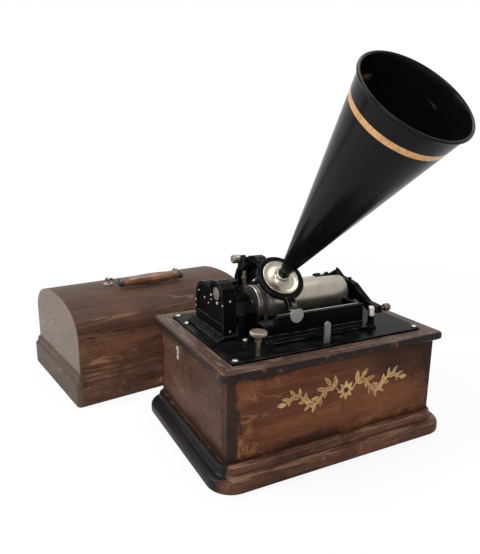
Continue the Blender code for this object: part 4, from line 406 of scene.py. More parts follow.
def loft(sections, loop=False):
    """Carries a closed outline through sections, an array of (section, point, xyz). The
    faces point outwards: they are turned round where the enclosed volume comes out negative."""
    sections = np.asarray(sections, float)
    rows, columns, _ = sections.shape
    points = sections.reshape(-1, 3)
    index = np.arange(rows * columns)
    ends = [] if loop else [index[:columns][::-1], index[-columns:]]
    groups = [grid_faces(rows, columns, loop), *(end[None] for end in ends)]
    from_centre = points - points.mean(axis=0)
    volume = sum(fan_volume(from_centre[group]) for group in groups)
    faces = [face for group in groups for face in group.tolist()]
    return points, [face[::-1] for face in faces] if volume < 0 else faces


NEARLY_UPRIGHT = 0.9


def square_to(axis):
    """Two directions square to an axis and to each other."""
    helper = UP if abs(axis[2]) < NEARLY_UPRIGHT else (1.0, 0.0, 0.0)
    side = unit(np.cross(helper, axis))
    return side, np.cross(axis, side)


def around(angle):
    """Points on a circle of radius 1."""
    return np.column_stack([np.cos(angle), np.sin(angle)])


def slab(outline, axis, depths):
    """Carries a flat outline through depths along an axis, where 0 is X and 1 is Y."""
    return loft([np.insert(outline, axis, depth, axis=1) for depth in depths])


def lathe(profile, origin, axis, segments=96, loop=False, flutes=0):
    """Turns a profile of (along, radius) round an axis: point = origin + along * axis +
    radius * (cos a * side + sin a * up). A third column is the flutes' depth, which cuts the
    radius by depth * (1 - cos(flutes * a)) / 2."""
    profile = np.asarray(profile, float)
    axis = unit(np.asarray(axis, float))
    side, up = square_to(axis)
    angle = np.linspace(0.0, 2 * np.pi, segments, endpoint=False)
    radius = profile[:, 1][:, None] * np.ones(segments)
    if flutes:
        radius = radius - profile[:, 2][:, None] * (1 - np.cos(flutes * angle)) / 2
    ring = around(angle) @ np.array([side, up])
    along = profile[:, 0][:, None, None] * axis
    return loft(np.asarray(origin, float) + along + radius[:, :, None] * ring, loop)


def sweep(route, outline, up, loop=False):
    """Carries an outline of (across, over) points along a route. Across is square to the
    route and to up, and over is square to both."""
    route = np.asarray(route, float)
    if loop:
        along = np.roll(route, -1, axis=0) - np.roll(route, 1, axis=0)
    else:
        along = np.gradient(route, axis=0)
    along = along / np.linalg.norm(along, axis=1)[:, None]
    across = np.cross(np.asarray(up, float), along)
    across = across / np.linalg.norm(across, axis=1)[:, None]
    over = np.cross(along, across)
    flat = np.broadcast_to(outline, (len(route), *outline.shape[-2:]))
    return loft(route[:, None] + flat[:, :, :1] * across[:, None] + flat[:, :, 1:] * over[:, None], loop)


def pill(width, height, corner, steps):
    """A rectangle with rounded corners, as (across, over) points."""
    angle = np.linspace(0.0, np.pi / 2, steps)
    first = around(angle) * corner + (width / 2 - corner, height / 2 - corner)
    second = first[::-1] * (-1, 1)
    return np.vstack([first, second, -first, -second])


def piece(name, parts, finish, body, replaces, crease=35.0):
    """Makes one object of several closed surfaces, which rides on a body of the model."""
    points, faces, base = [], [], 0
    for some_points, some_faces in parts:
        points.append(some_points)
        faces.extend([[index + base for index in face] for face in some_faces])
        base += len(some_points)
    mesh = bpy.data.meshes.new(name)
    mesh.from_pydata(np.vstack(points).tolist(), [], faces)
    mesh.shade_smooth()
    mesh.set_sharp_from_angle(angle=np.radians(crease))
    mesh.materials.append(finish.material)
    made = bpy.data.objects.new(name, mesh)
    bpy.context.scene.collection.objects.link(made)
    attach(made, body)
    if replaces:
        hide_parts(*replaces)


# The base moulding: oak lengths mitred at the corners, a rounded band under a cove. Its left
# length is worn down to black lacquer. Pale streaks are painted along the front's high lines as
# highlights, and the cove's groove and the foot are painted dark as shade.
def moulding(profile, half, corner, steps=10):
    """Carries a closed profile of (outwards, height) round a rectangle: the outward distance
    is taken along the corner's own direction, so round corners stay round."""
    path, out = [], []
    for k, core in enumerate([(1, 1), (-1, 1), (-1, -1), (1, -1)]):
        angle = np.linspace(k, k + 1, steps) * np.pi / 2
        direction = around(angle)
        path.append(direction * corner + np.array(core) * (np.array(half) - corner))
        out.append(direction)
    profile = np.asarray(profile, float)
    flat = np.vstack(path)[:, None] + np.vstack(out)[:, None] * profile[None, :, :1]
    heights = np.broadcast_to(profile[:, 1], flat.shape[:2])
    return loft(np.dstack([flat, heights]), loop=True)


def arc(centre, radius, start, end, steps=8):
    """Points on an arc from one angle to another, in degrees."""
    return [*around(np.radians(np.linspace(start, end, steps))) * radius + centre]


BASE_HEIGHT, BASE_REACH, BASE_BACK, BASE_CORNER = 0.026, 0.0192, -0.012, 0.01
BAND_TOP, BAND_ROUND = 0.015, 0.00675
COVE_REACH, COVE_HEIGHT = 0.008, BASE_HEIGHT - BAND_TOP
NOSE, WALL_GAP, REBATE = 0.0024, 0.0003, 0.01
MOULD_TONES = ((0.05, 0.022, 0.014), (0.12, 0.051, 0.03), (0.215, 0.108, 0.068))
MOULD_GLOSS = 0.25
base_profile = [(BASE_BACK, 0.0), (BASE_REACH - NOSE, 0.0)]
base_profile += arc((BASE_REACH - NOSE, NOSE), NOSE, -90, 0, 5)
base_profile += arc((BASE_REACH - BAND_ROUND, BAND_TOP - BAND_ROUND), BAND_ROUND, 0, 90)
base_profile += [(COVE_REACH + COVE_HEIGHT * 0.25, BAND_TOP)]
base_profile += [(COVE_REACH + 0.0002, BAND_TOP + COVE_HEIGHT * 0.22)]
base_profile += [(COVE_REACH, BAND_TOP + COVE_HEIGHT * 0.3)]
base_profile += arc((COVE_REACH - NOSE, BASE_HEIGHT - NOSE), NOSE, 0, 90, 5)
base_profile += [(WALL_GAP, BASE_HEIGHT), (WALL_GAP, REBATE), (BASE_BACK, REBATE)]


def base_oak():
    sheet = oak("oak_base", "frame", MOULD_TONES, gloss=MOULD_GLOSS, edge=0.001)
    x, y, z = sheet.axes()
    ragged = sheet.noise(60.0, 4.0, 0.6)
    streak = sheet.grain((x, y, z), (20, 200, 900), 1.0, 3.0, 0.6)
    face = y.ramp(-0.101, -0.104)
    # high is 1 on the band's rounded top and on the top edge, where highlight lines are painted.
    high = z.ramp(0.0118, 0.0142) * z.ramp(0.0168, 0.015) + z.ramp(0.0235, 0.025)
    # groove is the hollow at the foot of the cove, painted dark as shade.
    groove = z.ramp(0.015, 0.0156) * z.ramp(0.0174, 0.0166)
    left = (x + (ragged - 0.5) * 0.016).ramp(-0.143, -0.1465)
    front = (y + (ragged - 0.5) * 0.02).ramp(-0.113, -0.103)
    lacquer = sheet.blend(ragged.ramp(0.6, 0.8) * 0.4, (0.009, 0.009, 0.01), (0.04, 0.034, 0.031))
    sheet.lay(
        sheet.tone,
        # Painted shade: the cove's groove and the foot by the floor are darkened.
        (groove * 0.8 + z.ramp(0.003, 0.0005) * 0.7, (0.012, 0.007, 0.0055)),
        # Painted highlight: pale streaks along the front's high lines.
        (streak.ramp(0.46, 0.62) * high * face * 0.75, (0.3, 0.165, 0.105)),
        (left * front * 0.95, lacquer),
    )
    return sheet


base_parts = [moulding(base_profile, CASE_HALF, BASE_CORNER)]
piece("base_moulding_turned", base_parts, base_oak(), "case", ["base_moulding"])


# The top frame: a flat oak length with a rounded nose. Its flat is worn grey by hands and the
# lid's edge, and it is rubbed red in places. Its nose and the other faces that don't look up
# are painted nearly black as shade, and the upward faces keep the oak's tone.
def top_oak():
    sheet = oak("oak_top", "frame", MOULD_TONES, gloss=MOULD_GLOSS, edge=0.0008)
    x, y, z = sheet.axes()
    rub = sheet.noise(90.0, 5.0, 0.7)
    lines = sheet.grain((*mitred(x, y), z), (14, 150, 60), 1.5, 4.0, 0.7)
    # Painted shade by the face's direction: up is 1 on faces that look up, and the rest stays near black.
    up = sheet.upward("True Normal").ramp(0.75, 0.98)
    grey = sheet.blend(lines.ramp(0.52, 0.62) * 0.65, (0.07, 0.046, 0.036), (0.3, 0.25, 0.21))
    sheet.lay(
        (0.017, 0.012, 0.011),
        (rub.ramp(0.56, 0.66) * 0.7, (0.15, 0.05, 0.028)),
        (up * 0.75, sheet.tone),
        (up * rub.ramp(0.36, 0.52) * 0.65, grey),
    )
    return sheet


paint(top_oak(), "top_moulding")

# The castings and the bedplate: iron under baked black japan, dulled in patches, with dust on
# its flat tops and thin pale lines along the edges, partly rubbed edges and partly painted highlights.
JAPAN_BLACK = (0.0022, 0.0022, 0.0027)
JAPAN_DUST = (0.022, 0.021, 0.02)
JAPAN_SPECK = (0.11, 0.1, 0.09)
JAPAN_EDGE_RUB_AND_HIGHLIGHT = (0.2, 0.19, 0.18)


def japan(name, edge, rub, dust=0.35, rough=0.22, black=JAPAN_BLACK):
    """edge is the radius of the edges; rub is how strongly the pale edge lines show, rubbed edges with a
    painted highlight, and dust how strongly the dust shows.
    """
    sheet = Finish(name, IOR=1.1)
    patch = sheet.noise(55.0, 5.0, 0.6)
    speck = sheet.noise(900.0, 2.0, 0.5)
    up = sheet.upward("Normal")
    rounded, on_edge = sheet.edges(edge)
    sheet.lay(
        black,
        (up.ramp(0.75, 1.0) * patch.ramp(0.4, 0.72) * dust, JAPAN_DUST),
        (speck.ramp(0.66, 0.72) * up.ramp(0.5, 1.0) * dust, JAPAN_SPECK),
        # Pale edge lines: rubbed edges and a painted highlight.
        (on_edge * patch.ramp(0.36, 0.62) * rub, JAPAN_EDGE_RUB_AND_HIGHLIGHT),
    )
    sheet.set("Roughness", rough + patch * 0.22)
    sheet.bump(sheet.noise(420.0, 3.0, 0.5), 0.00006, 0.5, rounded)
    return sheet


casting_black = japan("japan_casting", 0.0009, 0.75)
paint(casting_black, "gear_housing", "mandrel_bearing", "upper_casting", "right_bracket")
paint(casting_black, "end_gate", "gate_hinge_post", "carriage_sleeve", "carriage_arm")
paint(japan("japan_bedplate", 0.0006, 0.8, 0.5, 0.2), "bedplate")
paint(japan("iron_frame", 0.0008, 0.5, 0.5, 0.42, (0.02, 0.02, 0.022)), "motor_frame")
paint(japan("iron_barrel", 0.0008, 0.5, 0.5, 0.42, (0.03, 0.029, 0.028)), "spring_barrel")

# The small metal pieces: worn and slightly yellow nickel plate, steel that is bright, dull or
# blued, and brass, with fine marks of turning and wiping. Their edges carry a painted highlight.
METAL_EDGE = 0.0003
SOFT_MARKS = (60, 60, 60)


def metal(name, colour, rough=0.26, grain=(40, 40, 40), stain=0.35, dark=None, marks=0.00003, plate=1.0):
    """A polished metal: grain is how finely its marks run along each axis and marks is their
    depth, stain is how much of dark shows, and plate below 1 is worn and scatters light."""
    sheet = Finish(name, Metallic=plate)
    lines = sheet.grain(sheet.axes(), grain, 1.0, 3.0, 0.6)
    cloud = sheet.noise(85.0, 4.0, 0.6)
    rounded, on_edge = sheet.edges(METAL_EDGE)
    sheet.lay(
        colour,
        (cloud.ramp(0.45, 0.75) * stain, dark or times(colour, 0.45)),
        (lines.ramp(0.5, 0.75) * 0.25, times(colour, 0.7)),
        # Painted highlight: a lighter copy of the colour on the edges.
        (on_edge * 0.4, [min(part, 0.95) for part in times(colour, 1.25)]),
    )
    sheet.set("Roughness", rough + cloud * 0.16 + lines * 0.06)
    sheet.bump(lines, marks, 0.5, rounded)
    return sheet


nickel = metal("nickel_plate", (0.5, 0.46, 0.4))
steel = metal("steel", (0.42, 0.41, 0.4), 0.3)
paint(nickel, "gate_centre", "stylus_weight", "reproducer_body", "crank_arm")
for place in ("back_right", "back_left", "front_left", "front_right"):
    paint(steel, "bedplate_screw_" + place)
paint(steel, "back_rod", "straight_edge", "mandrel_shaft", "lid_eye_left", "lid_eye_right")
paint(steel, "winding_arbor", "governor_shaft", "motor_pulley", "crank_shaft")
paint(metal("steel_lever", (0.2, 0.195, 0.185), 0.42, (300, 300, 300), 0.4), "start_lever")
blued = metal("blued_steel", (0.075, 0.074, 0.076), 0.34)
paint(blued, "mandrel_gear", "feed_gear", "idler_gear")
paint(metal("steel_thumb", (0.155, 0.12, 0.098), 0.34), "latch_thumbscrew")
paint(metal("steel_small", (0.12, 0.11, 0.095), 0.34), "lift_screw")
paint(metal("wheel_brass", (0.36, 0.31, 0.22), 0.36), "governor_weights")
paint(metal("brass_nut", (0.22, 0.185, 0.135), 0.34, SOFT_MARKS, 0.6), "feed_nut")
paint(metal("nickel_knob", (0.3, 0.275, 0.235), 0.3, SOFT_MARKS, 0.8), "shaver_knob")

# The lift lever: a round nickel thumb plate on a short bar, pinned to the ring's foot. The bar
# above the plate is dark.
THUMB_TOP = (0.1722, 0.1732)
thumb = metal("nickel_thumb", (0.29, 0.28, 0.265), 0.42, (500, 500, 500), 0.5)
thumb.lay(thumb.tone, (thumb.axes()[2].ramp(*THUMB_TOP), (0.05, 0.047, 0.043)))
paint(thumb, "lift_lever")


# The mandrel: a tapered nickel-plated drum, hollow at its right end, with a polished face. Its
# turning marks run round it.
def mm(*points):
    """Points in millimetres, brought to metres."""
    return np.array(points, float) / 1000.0


MANDREL_AXIS = (0.005, 0.166)
ALONG = (1, 0, 0)
TURNED = (500, 3, 3)
DRUM = mm(
    (-44, 3.9), (-44, 20.7), (-43.6, 21.6), (-42.8, 22), (-30, 21.87), (20, 21.34), (72.8, 20.8),
    (73.6, 20.6), (74, 20.1), (74, 18.7), (70, 18.6), (70, 8.2), (72.6, 8), (72.8, 7.6), (72.8, 3.9),
)
drum = [lathe(DRUM, (0, *MANDREL_AXIS), ALONG, 128, True)]
drum_nickel = metal("nickel_turned", (0.375, 0.335, 0.275), 0.25, TURNED, 0.3, marks=0.000006, plate=0.85)
piece("mandrel_drum", drum, drum_nickel, "mandrel_line", ["mandrel"])

# The belt pulley: a nickel-plated wheel fixed to the mandrel's left end, with a groove that
# keeps the belt in place. The belt has worn it dull.
PULLEY = mm(
    (-55.8, 3.9), (-55.8, 20.6), (-55.2, 21.5), (-54.4, 21.3), (-53.4, 19.6), (-50, 19.6),
    (-46.7, 19.6), (-45.7, 21.3), (-44.9, 21.5), (-44.3, 20.6), (-44.3, 3.9),
)
pulley = [lathe(PULLEY, (0, *MANDREL_AXIS), ALONG, 128, True)]
pulley_nickel = metal("nickel_pulley", (0.3, 0.275, 0.24), 0.28, TURNED, 0.7, marks=0.00001, plate=0.75)
piece("mandrel_pulley_wheel", pulley, pulley_nickel, "mandrel_line", ["mandrel_pulley"])

# The flange beside the pulley: a black japanned disc, whose rim and one thin ring on its face
# are rubbed down to bare metal.
FLANGE = mm(
    (-58.5, 3.9), (-58.5, 7.8), (-59.8, 9.2), (-59.8, 15), (-60.1, 16.5), (-60.1, 20.2),
    (-59.7, 21), (-59, 21.5), (-56.6, 21.5), (-56.1, 21), (-56.1, 3.9),
)
FLANGE_RIM = (0.0203, 0.0208)
FLANGE_RING = ((0.0163, 0.0166), (0.0171, 0.0168))


def flange_finish():
    sheet = Finish("japan_flange", IOR=1.25)
    x, y, z = sheet.axes()
    flat = sheet.vector(0.0, y - MANDREL_AXIS[0], z - MANDREL_AXIS[1])
    patch = sheet.noise(120.0, 4.0, 0.6)
    reach = sheet.measure("LENGTH", flat) + (patch - 0.5) * 0.0006
    ring_in, ring_out = FLANGE_RING
    bare = reach.ramp(*FLANGE_RIM) + reach.ramp(*ring_in) * reach.ramp(*ring_out) * 0.5
    sheet.lay((0.026, 0.029, 0.027), (patch * 0.4, (0.062, 0.067, 0.062)), (bare, (0.34, 0.31, 0.25)))
    sheet.set("Metallic", bare * 0.9)
    sheet.set("Roughness", 0.3 + patch * 0.15)
    return sheet


flange = [lathe(FLANGE, (0, *MANDREL_AXIS), ALONG, 128, True)]
piece("mandrel_flange_disc", flange, flange_finish(), "mandrel_line", ["mandrel_flange"])

# The feed screw: a steel rod with a fine thread, behind the mandrel. Its radius drops by the
# thread's depth between the crests, which climb one pitch in a turn.
FEED_AXIS = (0.036, 0.166)
PITCH, CREST, THREAD_DEPTH = 0.0006, 0.0045, 0.00035
THREAD_ENDS = (-0.062, 0.0676)
JOURNALS = (
    mm((-109.3, 3.2), (-109, 3.5), (-61.8, 3.5)),
    mm((67.4, 3.5), (75.2, 3.5), (75.5, 3.2)),
)
thread_x = np.arange(*THREAD_ENDS, PITCH / 4)
thread_angle = np.linspace(0.0, 2 * np.pi, 20, endpoint=False)
phase = (thread_x[:, None] / PITCH - thread_angle[None, :] / (2 * np.pi)) % 1.0
thread_radius = CREST - THREAD_DEPTH * (1 - np.abs(2 * phase - 1))
thread_y = FEED_AXIS[0] + thread_radius * np.cos(thread_angle)
thread_z = FEED_AXIS[1] + thread_radius * np.sin(thread_angle)
thread_rows = np.broadcast_to(thread_x[:, None], phase.shape)
feed = [loft(np.dstack([thread_rows, thread_y, thread_z]))]
feed += [lathe(journal, (0, *FEED_AXIS), ALONG, 40) for journal in JOURNALS]
piece("feed_screw_thread", feed, steel, "feed_line", ["feed_screw"], 60.0)

# The belt: a strip of dark leather, rubbed smooth, that runs over the mandrel's pulley and
# down through the bedplate to the motor's.
BELT_X, BELT_RADIUS, MOTOR_HEIGHT = -0.0501, 0.0204, 0.08
leather = Finish("leather", IOR=1.45)
leather_tone = leather.noise(60.0, 3.0, 0.6)
leather.lay((0.02, 0.016, 0.013), (leather_tone.ramp(0.35, 0.7), (0.075, 0.06, 0.048)))
leather.set("Roughness", 0.45 + leather_tone * 0.2)
leather.bump(leather.noise(900.0, 4.0, 0.6), 0.0001, 0.8)
belt_route = []
for start, height in ((0.0, MANDREL_AXIS[1]), (np.pi, MOTOR_HEIGHT)):
    angle = np.linspace(start, start + np.pi, 48)
    belt_line = around(angle) * BELT_RADIUS + (MANDREL_AXIS[0], height)
    belt_route.append(np.insert(belt_line, 0, BELT_X, axis=1))
belt = [sweep(np.vstack(belt_route), pill(0.0011, 0.0048, 0.0004, 3), ALONG, True)]
piece("belt_strip", belt, leather, "case", ["drive_belt"])

# The reproducer's plate, held in the carriage's ring: a dished nickel disc with a turned rim
# and a collar, from which the black neck of the horn rises.
RING = np.array([-0.0372, -0.025, 0.201])
AZIMUTH, ELEVATION = np.radians(3.3), np.radians(46.4)
level = np.cos(ELEVATION)
HORN_WAY = np.array([level * np.sin(AZIMUTH), -level * np.cos(AZIMUTH), np.sin(ELEVATION)])
PLATE = mm(
    (-3.5, 6.1), (-3.5, 22.3), (-2.5, 23.3), (2, 23.3), (2.8, 22.9), (3, 22.3), (3, 21.5),
    (2.6, 21), (1.8, 20), (1.4, 18), (1.4, 15.5), (2, 13), (3, 10.8), (3.6, 9.6), (4.4, 8.4),
    (6, 7.8), (8, 7.5), (8.8, 7), (9, 6.1),
)
plate = [lathe(PLATE, RING, HORN_WAY, 128, True)]
plate_nickel = metal("nickel_dish", (0.41, 0.37, 0.3), 0.18, SOFT_MARKS, 0.7, (0.15, 0.115, 0.09))
piece("reproducer_dish", plate, plate_nickel, "lift_arm", ["reproducer_plate"], 50.0)

# The horn: a cone of thin sheet, enamelled glossy black inside and out, with a rolled bead at
# its mouth and one copper-gold line below it. Its neck is a stepped tube in the plate's collar.
HORN_START, HORN_LENGTH = 0.018, 0.251
HORN_MOUTH, HORN_END, HORN_WALL = 0.0538, 0.0072, 0.001
HORN_FLARE = (HORN_MOUTH - HORN_END) / HORN_LENGTH
BEAD_RADIUS, BEAD_BACK, BEAD_OUT = 0.0016, 0.0009, 0.0002
BAND_LOW, BAND_HIGH, BAND_SOFT = 0.2438, 0.25, 0.0002
OUTER_FACE = (-0.0008, -0.0003)
NECK = mm(
    (-3, 4.2), (-3, 5.8), (9.2, 5.8), (10, 6.8), (11.8, 7), (12.6, 5.8), (17.8, 5.7), (17.8, 4.2)
)


def enamel(name, band):
    """Glossy black enamel with faint ripples; band adds the gold line on the outer face."""
    sheet = Finish(name, IOR=1.2)
    ripple = sheet.noise(22.0, 3.0, 0.5)
    mark = sheet.noise(260.0, 4.0, 0.6)
    coats = [(mark.ramp(0.6, 0.78) * 0.5, (0.016, 0.015, 0.014))]
    if band:
        subtract = {"operation": "SUBTRACT"}
        offset = sheet.node("ShaderNodeVectorMath", subtract, [sheet.place, RING.tolist()])
        along = sheet.measure("DOT_PRODUCT", offset, HORN_WAY.tolist()) + (ripple - 0.5) * 0.0004
        reach = sheet.measure("LENGTH", offset)
        radius = (reach * reach - along * along).math("SQRT")
        past_wall = radius - (along - HORN_START) * HORN_FLARE - HORN_END
        line = along.ramp(BAND_LOW, BAND_LOW + BAND_SOFT) * along.ramp(BAND_HIGH, BAND_HIGH - BAND_SOFT)
        line = line * past_wall.ramp(*OUTER_FACE)
        gold = sheet.blend(mark.ramp(0.4, 0.7), (0.56, 0.32, 0.145), (0.42, 0.22, 0.09))
        coats.append((line * (1 - mark.ramp(0.66, 0.74) * 0.8), gold))
        sheet.set("Metallic", line * 0.25)
    sheet.lay((0.0035, 0.0035, 0.004), *coats)
    sheet.set("Roughness", 0.1 + ripple * 0.16)
    sheet.bump(ripple + mark * 0.05, 0.0005, 0.3)
    return sheet


cone_along = np.linspace(HORN_START, HORN_START + HORN_LENGTH, 40)
cone_radius = np.linspace(HORN_END, HORN_MOUTH, 40)
bead_centre = (HORN_START + HORN_LENGTH - BEAD_BACK, HORN_MOUTH + BEAD_OUT)
outer = np.column_stack([cone_along, cone_radius])[:-1]
inner = np.column_stack([cone_along, cone_radius - HORN_WALL])[:-1][::-1]
horn_profile = np.vstack([outer, arc(bead_centre, BEAD_RADIUS, 200, -80, 18), inner])
cone = [lathe(horn_profile, RING, HORN_WAY, 192, True)]
piece("horn_cone", cone, enamel("enamel_horn", True), "horn", ["horn"], 50.0)
neck = [lathe(NECK, RING, HORN_WAY, 64, True)]
piece("horn_neck_tube", neck, enamel("enamel_neck", False), "horn", ["horn_neck"])

# The speed screw: a knurled brass head on a stepped shaft, through the bedplate. The third
# number of the head's profile is the depth of its knurls.
SPEED_PLACE = (-0.096, -0.0795, 0)
KNURLS = 60
SPEED_HEAD = mm(
    (157.2, 4, 0), (157.4, 8, 0), (157.8, 9.2, 0.5), (158.4, 9.6, 0.5), (160.6, 9.6, 0.5),
    (161.4, 9.2, 0.5), (161.9, 8.4, 0), (162, 7, 0),
)
SPEED_SHAFT = mm(
    (111, 2.6), (135, 2.7), (140, 2.4), (141, 2.8), (148, 2.8), (150, 3.4), (150.2, 4),
    (153, 4.1), (154.5, 5.2), (156.2, 5.6),
)
speed = [lathe(SPEED_HEAD, SPEED_PLACE, UP, 240, False, KNURLS), lathe(SPEED_SHAFT, SPEED_PLACE, UP, 48)]
speed_brass = metal("brass_screw", (0.25, 0.21, 0.155), 0.3, SOFT_MARKS, 0.5)
piece("speed_screw_knurled", speed, speed_brass, "speed_screw", ["speed_screw"])

# The lid: a shell bent round two D-shaped ends, with oak grain along it, in a moulded band. It
# is browner than the case, smoked and crazed, and its end and top carry a painted grey sheen.
LID = {"x": -0.2495, "y": 0.145, "yaw": np.radians(8.0), "length": 0.3, "depth": 0.207}
LID.update({"height": 0.1402, "overhang": 0.0075, "side": 0.09, "power": 2.3, "wall": 0.008})
LID_LOW = 0.0083
LID_TOP = (0.1, 0.136)
LID_TONES = ((0.058, 0.029, 0.0185), (0.138, 0.066, 0.04), (0.225, 0.12, 0.075))
LID_TOP_TONE = (0.04, 0.0235, 0.0175)
# Painted sheen: the first tone on this line and on the band's line below is a grey reflection painted on
# the lid's end and top.
LID_SHEEN_TONE, LID_EDGE = (0.2, 0.174, 0.156), (0.05, 0.025, 0.016)
BAND_TONES = ((0.044, 0.0225, 0.0155), (0.118, 0.058, 0.036), (0.225, 0.126, 0.082))
# Painted highlight: the band's pale edge tone, laid along its edges.
BAND_SHEEN_TONE, BAND_EDGE_HIGHLIGHT = (0.078, 0.062, 0.05), (0.34, 0.29, 0.24)


def turned(points, turn, start):
    """Turns flat points about the origin by an angle and moves the origin to start."""
    cos_t, sin_t = np.cos(turn), np.sin(turn)
    return points @ np.array([(cos_t, sin_t), (-sin_t, cos_t)]) + start


def lid_place(points):
    """From the lid's own corner, length and depth to the model's frame."""
    flat = turned(points[..., :2], LID["yaw"], (LID["x"], LID["y"]))
    return np.concatenate([flat, points[..., 2:]], axis=-1)


def dome(inset, steps=96):
    """The lid's cross-section, as (y, z): straight sides under a superellipse, whose across
    and height are cos(a) and sin(a), each to the power 2 / power."""
    low_y = LID["overhang"] + inset
    high_y = LID["depth"] - low_y
    rise = LID["height"] - inset - LID["side"]
    angle = np.linspace(np.pi, 0.0, steps)
    power = 2 / LID["power"]
    across = np.sign(np.cos(angle)) * np.abs(np.cos(angle)) ** power
    y = (low_y + high_y) / 2 + (high_y - low_y) / 2 * across
    z = LID["side"] + rise * np.abs(np.sin(angle)) ** power
    return np.vstack([[(low_y, LID_LOW)], np.column_stack([y, z]), [(high_y, LID_LOW)]])


def lid_oak(name, tones, sheen_strength, sheen_tone, edge_tone, edge):
    """The lid's oak, in its own coordinates; the third argument is how strongly the painted grey sheen on
    its end and top shows.
    """
    sheet = Finish(name, IOR=1.1, Coat_Weight=0.12, Coat_Roughness=0.25, Coat_IOR=1.3)
    stand = {"Location": (LID["x"], LID["y"], 0.0), "Rotation": (0, 0, LID["yaw"])}
    values = {"Vector": sheet.place, **stand}
    place = sheet.node("ShaderNodeMapping", {"vector_type": "TEXTURE"}, values)
    x, y, z = sheet.axes(place)
    straight = (x, y, z)
    bent_round = (x, y, z + y * 0.4)
    fine = sheet.grain(straight, (5, 170, 190), 2.0, 4.0, 0.65)
    patch = sheet.grain(straight, (12, 12, 20), 1.0, 3.0, 0.6)
    pores = sheet.grain(straight, (40, 600, 600), 1.0, 2.0, 0.5)
    broad = sheet.grain(bent_round, (2.2, 10, 30), 1.5, 4.0, 0.6, 0.8)
    waves = sheet.grain(bent_round, (6, 6, 46), 1.0, 2.0, 0.5, 0.5)
    rusty = sheet.grain(bent_round, (7, 7, 16), 1.0, 3.0, 0.6)
    checks = sheet.grain(bent_round, (75, 200, 620), 1.0, 3.0, 0.6)
    smoke = sheet.grain(bent_round, (4, 9, 13), 1.3, 3.0, 0.6)
    cloud = sheet.noise(20.0, 4.0, 0.6, where=place)
    crazed = sheet.noise(26.0, 3.0, 0.6, where=place)
    streak = abs(waves - 0.5).ramp(0.016, 0.003)
    end = LID["length"] / 2 - LID["overhang"]
    on_end = abs(x - LID["length"] / 2).ramp(end - 0.0012, end - 0.0002)
    on_top = z.ramp(*LID_TOP) * (1 - on_end)
    # Painted sheen: strong on the end, faint on the top.
    painted_sheen = (on_end * 0.66 + on_top * 0.1) * sheen_strength
    rounded, on_edge = sheet.edges(edge)
    deep, middle, light = tones
    sheet.lay(
        deep,
        (broad.ramp(0.36, 0.66), middle),
        (fine.ramp(0.45, 0.75) * 0.25, light),
        (streak * patch.ramp(0.46, 0.6) * 0.7, times(light, 1.6)),
        (pores.ramp(0.6, 0.68) * 0.5, times(deep, 0.4)),
        (rusty.ramp(0.47, 0.62) * 0.45, np.multiply(middle, (1.5, 1.2, 1.05)).tolist()),
        (checks.ramp(0.565, 0.62) * crazed.ramp(0.42, 0.6) * 0.75, times(deep, 0.25)),
        (smoke.ramp(0.5, 0.68) * 0.6, times(deep, 0.55)),
        (on_top * 0.62, LID_TOP_TONE),
        (painted_sheen * (0.65 + crazed * 0.35), sheen_tone),
        # For the band, edge_tone is a painted highlight; for the shell it is darker handled edges.
        (on_edge * cloud.ramp(0.36, 0.58) * 0.6, edge_tone),
    )
    sheet.set("Roughness", 0.4 + cloud * 0.2)
    sheet.bump(fine * 0.5 + pores.ramp(0.62, 0.56), 0.0001, 0.5, rounded)
    return sheet


def along_lid(outline, start, end):
    """Carries a (y, z) outline along the lid from start to end."""
    rows = [np.insert(outline, 0, x, axis=1) for x in (start, end)]
    return loft(lid_place(np.array(rows)))


near_end, far_end = LID["overhang"], LID["length"] - LID["overhang"]
outside, inside = dome(0.0), dome(LID["wall"])
bent = np.vstack([outside, inside[::-1]])
shell = [along_lid(bent, near_end + LID["wall"], far_end - LID["wall"])]
shell.append(along_lid(outside, near_end, near_end + LID["wall"]))
shell.append(along_lid(outside, far_end - LID["wall"], far_end))
shell_oak = lid_oak("oak_lid", LID_TONES, 1.0, LID_SHEEN_TONE, LID_EDGE, 0.0008)
piece("lid_shell_bent", shell, shell_oak, "lid", ["lid_shell"])
paint(lid_oak("oak_lid_band", BAND_TONES, 1.25, BAND_SHEEN_TONE, BAND_EDGE_HIGHLIGHT, 0.0013), "lid_moulding")

# The handles: a steel wire bail, hooked in the lid's two eyes, carries a turned and varnished
# wooden grip, and a grip of the same wood turns on the crank's pin.
grip = Finish("turned_grip", IOR=1.45, Coat_Weight=0.5, Coat_Roughness=0.15)
grip_lines = grip.noise(160.0, 4.0, 0.6, 0.6)
grip_cloud = grip.noise(45.0, 4.0, 0.6)
grip.lay(
    (0.085, 0.031, 0.0125),
    (grip_cloud.ramp(0.38, 0.66), (0.25, 0.095, 0.032)),
    (grip_lines.ramp(0.56, 0.72) * 0.5, (0.05, 0.022, 0.012)),
)
grip.set("Roughness", 0.28 + grip_cloud * 0.2)
grip.bump(grip_lines, 0.0001, 0.4)
paint(grip, "lid_grip", "crank_grip")
paint(metal("wire", (0.1, 0.09, 0.08), 0.35, SOFT_MARKS, 0.3), "lid_bail")

